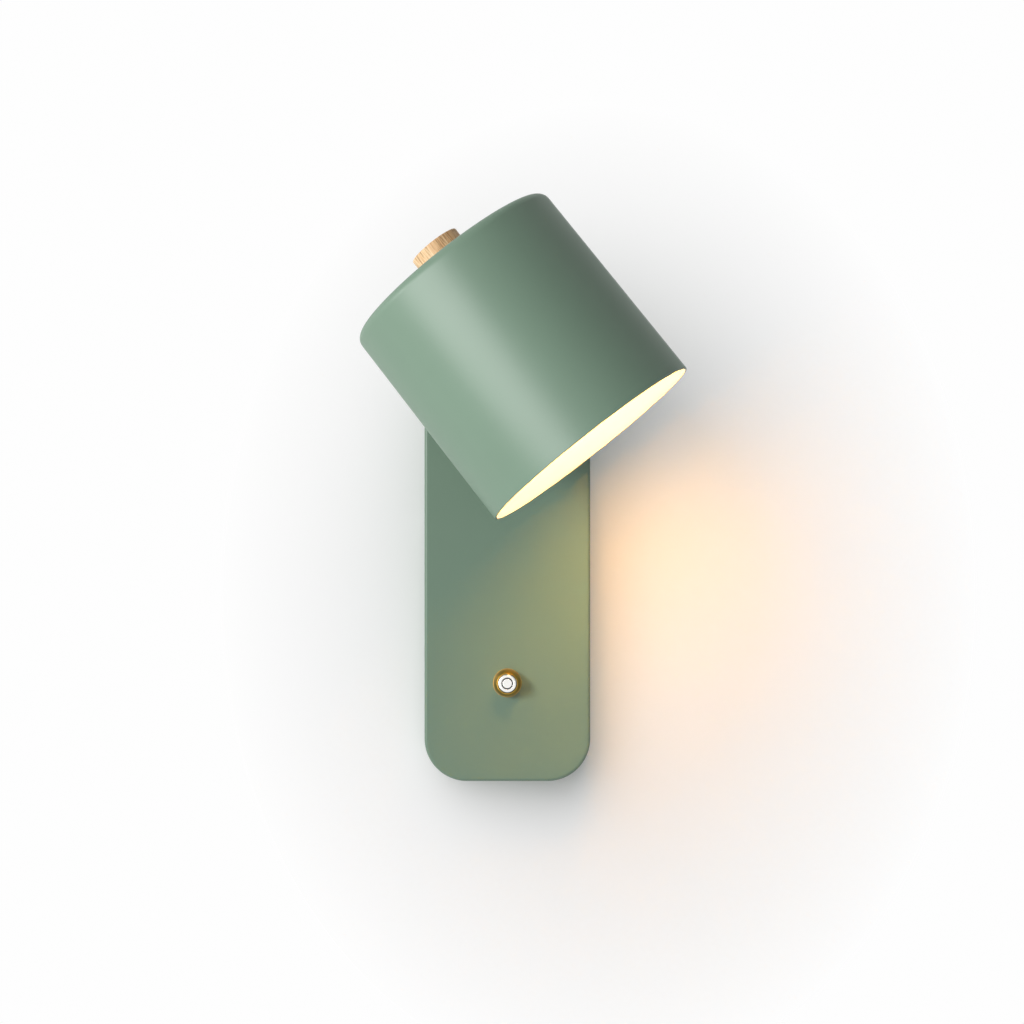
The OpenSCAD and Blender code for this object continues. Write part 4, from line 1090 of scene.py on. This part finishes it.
class LAMP_OT_stage(Maker, bpy.types.Operator):
    """Set up the wall, the soft light and the camera at the photograph's view"""
    bl_idname = "lamp.stage"
    bl_label = "Stage"

    def execute(self, context):
        sizes = context.scene.lamp_stage
        self.camera(context, sizes)
        wall = self.wall()
        self.world(context, sizes)
        plate = bpy.data.objects["back_plate"]
        lamp_front = Vector((0, -0.05, 0.02))
        # Name, place, width and power, and what the light leaves out or keeps to
        for name, at, width, watts, state, *targets in (
                ("key", (-1.44, -2.04, -0.05), 1.9, sizes.key, "EXCLUDE", wall, plate),
                ("plate_key", (-1.6, -1.75, 0.5), 0.7, sizes.key * 0.67, "INCLUDE", plate),
                ("upper", (-1.84, -0.7, 0.22), 0.3, sizes.upper, "EXCLUDE", wall, plate),
                ("wash", (-1.0, -2.5, 1.4), 4.5, sizes.wash, "INCLUDE", wall),
                ("wash", (1.0, -1.8, -1.6), 2.0, sizes.wash * 0.085, "INCLUDE", wall),
                ("behind", (-0.9, 1.4, 0.7), 0.8, sizes.key * 0.25, None),
                ("behind", (0.9, 1.4, 0.7), 0.8, sizes.key * 0.25, None)):
            light = self.light(name, "AREA", Vector(at), lamp_front, size=width, energy=watts)
            if state:
                self.shine(light, state, *targets)
        globe = bpy.data.objects["opal_globe"]
        self.shine(globe, "EXCLUDE", wall)
        self.glow(globe, wall, sizes)
        context.scene.view_settings.view_transform = "Standard"
        return {"FINISHED"}

    def light(self, name, kind, at, target, **settings):
        """A light turned towards a point, which the camera doesn't see."""
        data = bpy.data.lights.new(name, kind)
        for key, value in settings.items():
            setattr(data, key, value)
        light = in_scene(name, data)
        light.location = at
        light.rotation_euler = (target - at).to_track_quat("-Z", "Y").to_euler()
        light.visible_camera = False
        return light

    def glow(self, globe, wall, sizes):
        """The part of the bulb's light that reaches the wall, carried by the globe."""
        at = ON_SHADE @ Vector((0, 0, (GLOBE_LOW.z + GLOBE_HIGH.z) / 2))
        pool_middle = Vector((0.060, 0, -0.022))
        light = self.light("glow", "SPOT", at, pool_middle, energy=sizes.glow,
                           color=(1.0, 0.46, 0.035), shadow_soft_size=0.045,
                           spot_size=math.radians(88), spot_blend=1.0)
        light.parent = globe
        self.shine(light, "INCLUDE", wall)
        clear = bpy.data.collections.new("glow_clear")
        clear.objects.link(globe)
        clear.collection_objects[0].light_linking.link_state = "EXCLUDE"
        light.light_linking.blocker_collection = clear

    def camera(self, context, sizes):
        data = bpy.data.cameras.new("camera")
        data.lens = sizes.lens
        camera = in_scene("camera", data)
        camera.location = (sizes.aside, -sizes.distance, sizes.above)
        camera.rotation_euler = (math.radians(90), 0, 0)
        context.scene.camera = camera

    def shine(self, light, state, *targets):
        """Leaves objects out of a light's reach, or keeps the light to them."""
        reach = bpy.data.collections.new(light.name + "_reach")
        for target in targets:
            reach.objects.link(target)
        for linked in reach.collection_objects:
            linked.light_linking.link_state = state
        light.light_linking.receiver_collection = reach

    def seen(self, tree):
        """The rays that show the surroundings themselves, and the mirrored ones among them."""
        path = tree.nodes.new("ShaderNodeLightPath").outputs
        shown = maths(tree, "MAXIMUM", path["Is Camera Ray"],
                      maths(tree, "MAXIMUM", path["Is Glossy Ray"], path["Is Transmission Ray"]))
        return shown, path["Is Glossy Ray"]

    def dimmed(self, tree, white, mirrored, aside, start, end):
        """White that falls off to half in reflections, from start to end on the right."""
        dim = maths(tree, "MULTIPLY", mirrored, ramped(tree, aside, start, end, 0.0, 0.5))
        return maths(tree, "SUBTRACT", white, dim)

    def wall(self):
        """A wall painted white near the lamp, which fades into plain white further out.

        It shows from its front alone, and casts no shadow within the plate's outline, so that
        the lamp's back can be seen and lit.
        """
        reach, behind = 4.0, 0.0006
        mesh = bpy.data.meshes.new("wall")
        corners = [(-reach, behind, -reach), (reach, behind, -reach), (reach, behind, reach),
                   (-reach, behind, reach)]
        mesh.from_pydata(corners, [], [(0, 1, 2, 3)])
        material = bpy.data.materials.new("wall_paint")
        material.use_nodes = True
        tree = material.node_tree
        tree.nodes.clear()
        vector = shared_place(tree)
        parts = add(tree, "ShaderNodeSeparateXYZ", Vector=vector).outputs
        mottle = ramped(tree, noise(tree, vector, 3.0, 3.0), 0.3, 0.7, 0.93, 0.95)
        tone = add(tree, "ShaderNodeCombineXYZ", X=mottle, Y=mottle, Z=mottle)
        paint = add(tree, "ShaderNodeBsdfDiffuse", Color=tone.outputs[0])
        clear = tree.nodes.new("ShaderNodeBsdfTransparent")
        seen, mirrored = self.seen(tree)
        white = add(tree, "ShaderNodeEmission", Strength=self.dimmed(
            tree, 0.99, mirrored, along_tilt(tree, vector), 0.05, 0.4))

        def off_centre(part, centre, radius):
            return maths(tree, "DIVIDE", maths(tree, "SUBTRACT", parts[part], centre), radius)

        def inside(part, limit):
            return maths(tree, "LESS_THAN", maths(tree, "ABSOLUTE", parts[part]), limit)

        # An oval round the lamp and its glow, painted as far out as 0.42 of its radii
        away = hypotenuse(tree, off_centre(0, 0.045, 0.185), off_centre(2, -0.035, 0.24))
        far = ramped(tree, away, 0.42, 1.0)
        lit = self.mixed(tree, maths(tree, "MULTIPLY", far, seen), paint.outputs[0],
                         white.outputs[0])
        behind_it = tree.nodes.new("ShaderNodeNewGeometry").outputs["Backfacing"]
        window = maths(tree, "MULTIPLY", inside(0, PLATE_HIGH.x), inside(2, PLATE_HIGH.y))
        shadow_ray = tree.nodes.new("ShaderNodeLightPath").outputs["Is Shadow Ray"]
        unseen = maths(tree, "MAXIMUM", behind_it, maths(tree, "MULTIPLY", shadow_ray, window))
        whole = self.mixed(tree, unseen, lit, clear.outputs[0])
        plug(tree, tree.nodes.new("ShaderNodeOutputMaterial"), "Surface", whole)
        mesh.materials.append(material)
        wall = in_scene("wall", mesh)
        return wall

    def mixed(self, tree, share, first, second):
        mix = tree.nodes.new("ShaderNodeMixShader")
        for index, value in enumerate((share, first, second)):
            plug(tree, mix, index, value)
        return mix.outputs[0]

    def world(self, context, sizes):
        """Even light all round, stronger on the left, that looks white to the camera."""
        world = bpy.data.worlds.new("studio")
        world.use_nodes = True
        tree = world.node_tree
        sky = tree.nodes["Background"]
        sky.inputs["Color"].default_value = (1, 1, 1, 1)
        seen, mirrored = self.seen(tree)
        aside = along_tilt(tree, tree.nodes.new("ShaderNodeTexCoord").outputs["Generated"])
        soft = ramped(tree, aside, -1.0, 1.0, 1.05 * sizes.fill, 0.3 * sizes.fill)
        white = self.dimmed(tree, 1.0, mirrored, aside, 0.2, 0.9)
        plug(tree, sky, "Strength", ramped(tree, seen, 0.0, 1.0, soft, white))
        context.scene.world = world


class LAMP_PT_panel(bpy.types.Panel):
    """Sizes, finishes and steps of the reading lamp"""
    bl_idname = "LAMP_PT_panel"
    bl_label = "Wall reading lamp"
    bl_space_type = "VIEW_3D"
    bl_region_type = "UI"
    bl_category = "Lamp"

    def draw(self, context):
        for name in SETTINGS:
            group = getattr(context.scene, name)
            box = self.layout.box()
            for key in group.__annotations__:
                box.prop(group, key)
        for step in STEPS:
            self.layout.operator(step.bl_idname)


SETTINGS = {
    "lamp_plate": PlateSizes, "lamp_shade": ShadeSizes, "lamp_knob": KnobSizes,
    "lamp_switch": SwitchSizes, "lamp_finishes": Finishes, "lamp_stage": StageSettings}
STEPS = (
    LAMP_OT_back_plate, LAMP_OT_shade, LAMP_OT_knob, LAMP_OT_switch, LAMP_OT_knuckle,
    LAMP_OT_lampholder, LAMP_OT_bulb, LAMP_OT_fixings, LAMP_OT_wires, LAMP_OT_stage)


def register():
    for group in (*SETTINGS.values(), *STEPS, LAMP_PT_panel):
        bpy.utils.register_class(group)
    for name, group in SETTINGS.items():
        setattr(bpy.types.Scene, name, bpy.props.PointerProperty(type=group))


def unregister():
    for name in SETTINGS:
        delattr(bpy.types.Scene, name)
    for group in reversed((*SETTINGS.values(), *STEPS, LAMP_PT_panel)):
        bpy.utils.unregister_class(group)


def main():
    """Builds the lamp step by step."""
    register()
    for step in STEPS:
        category, name = step.bl_idname.split(".")
        getattr(getattr(bpy.ops, category), name)()


if __name__ == "__main__":
    main()
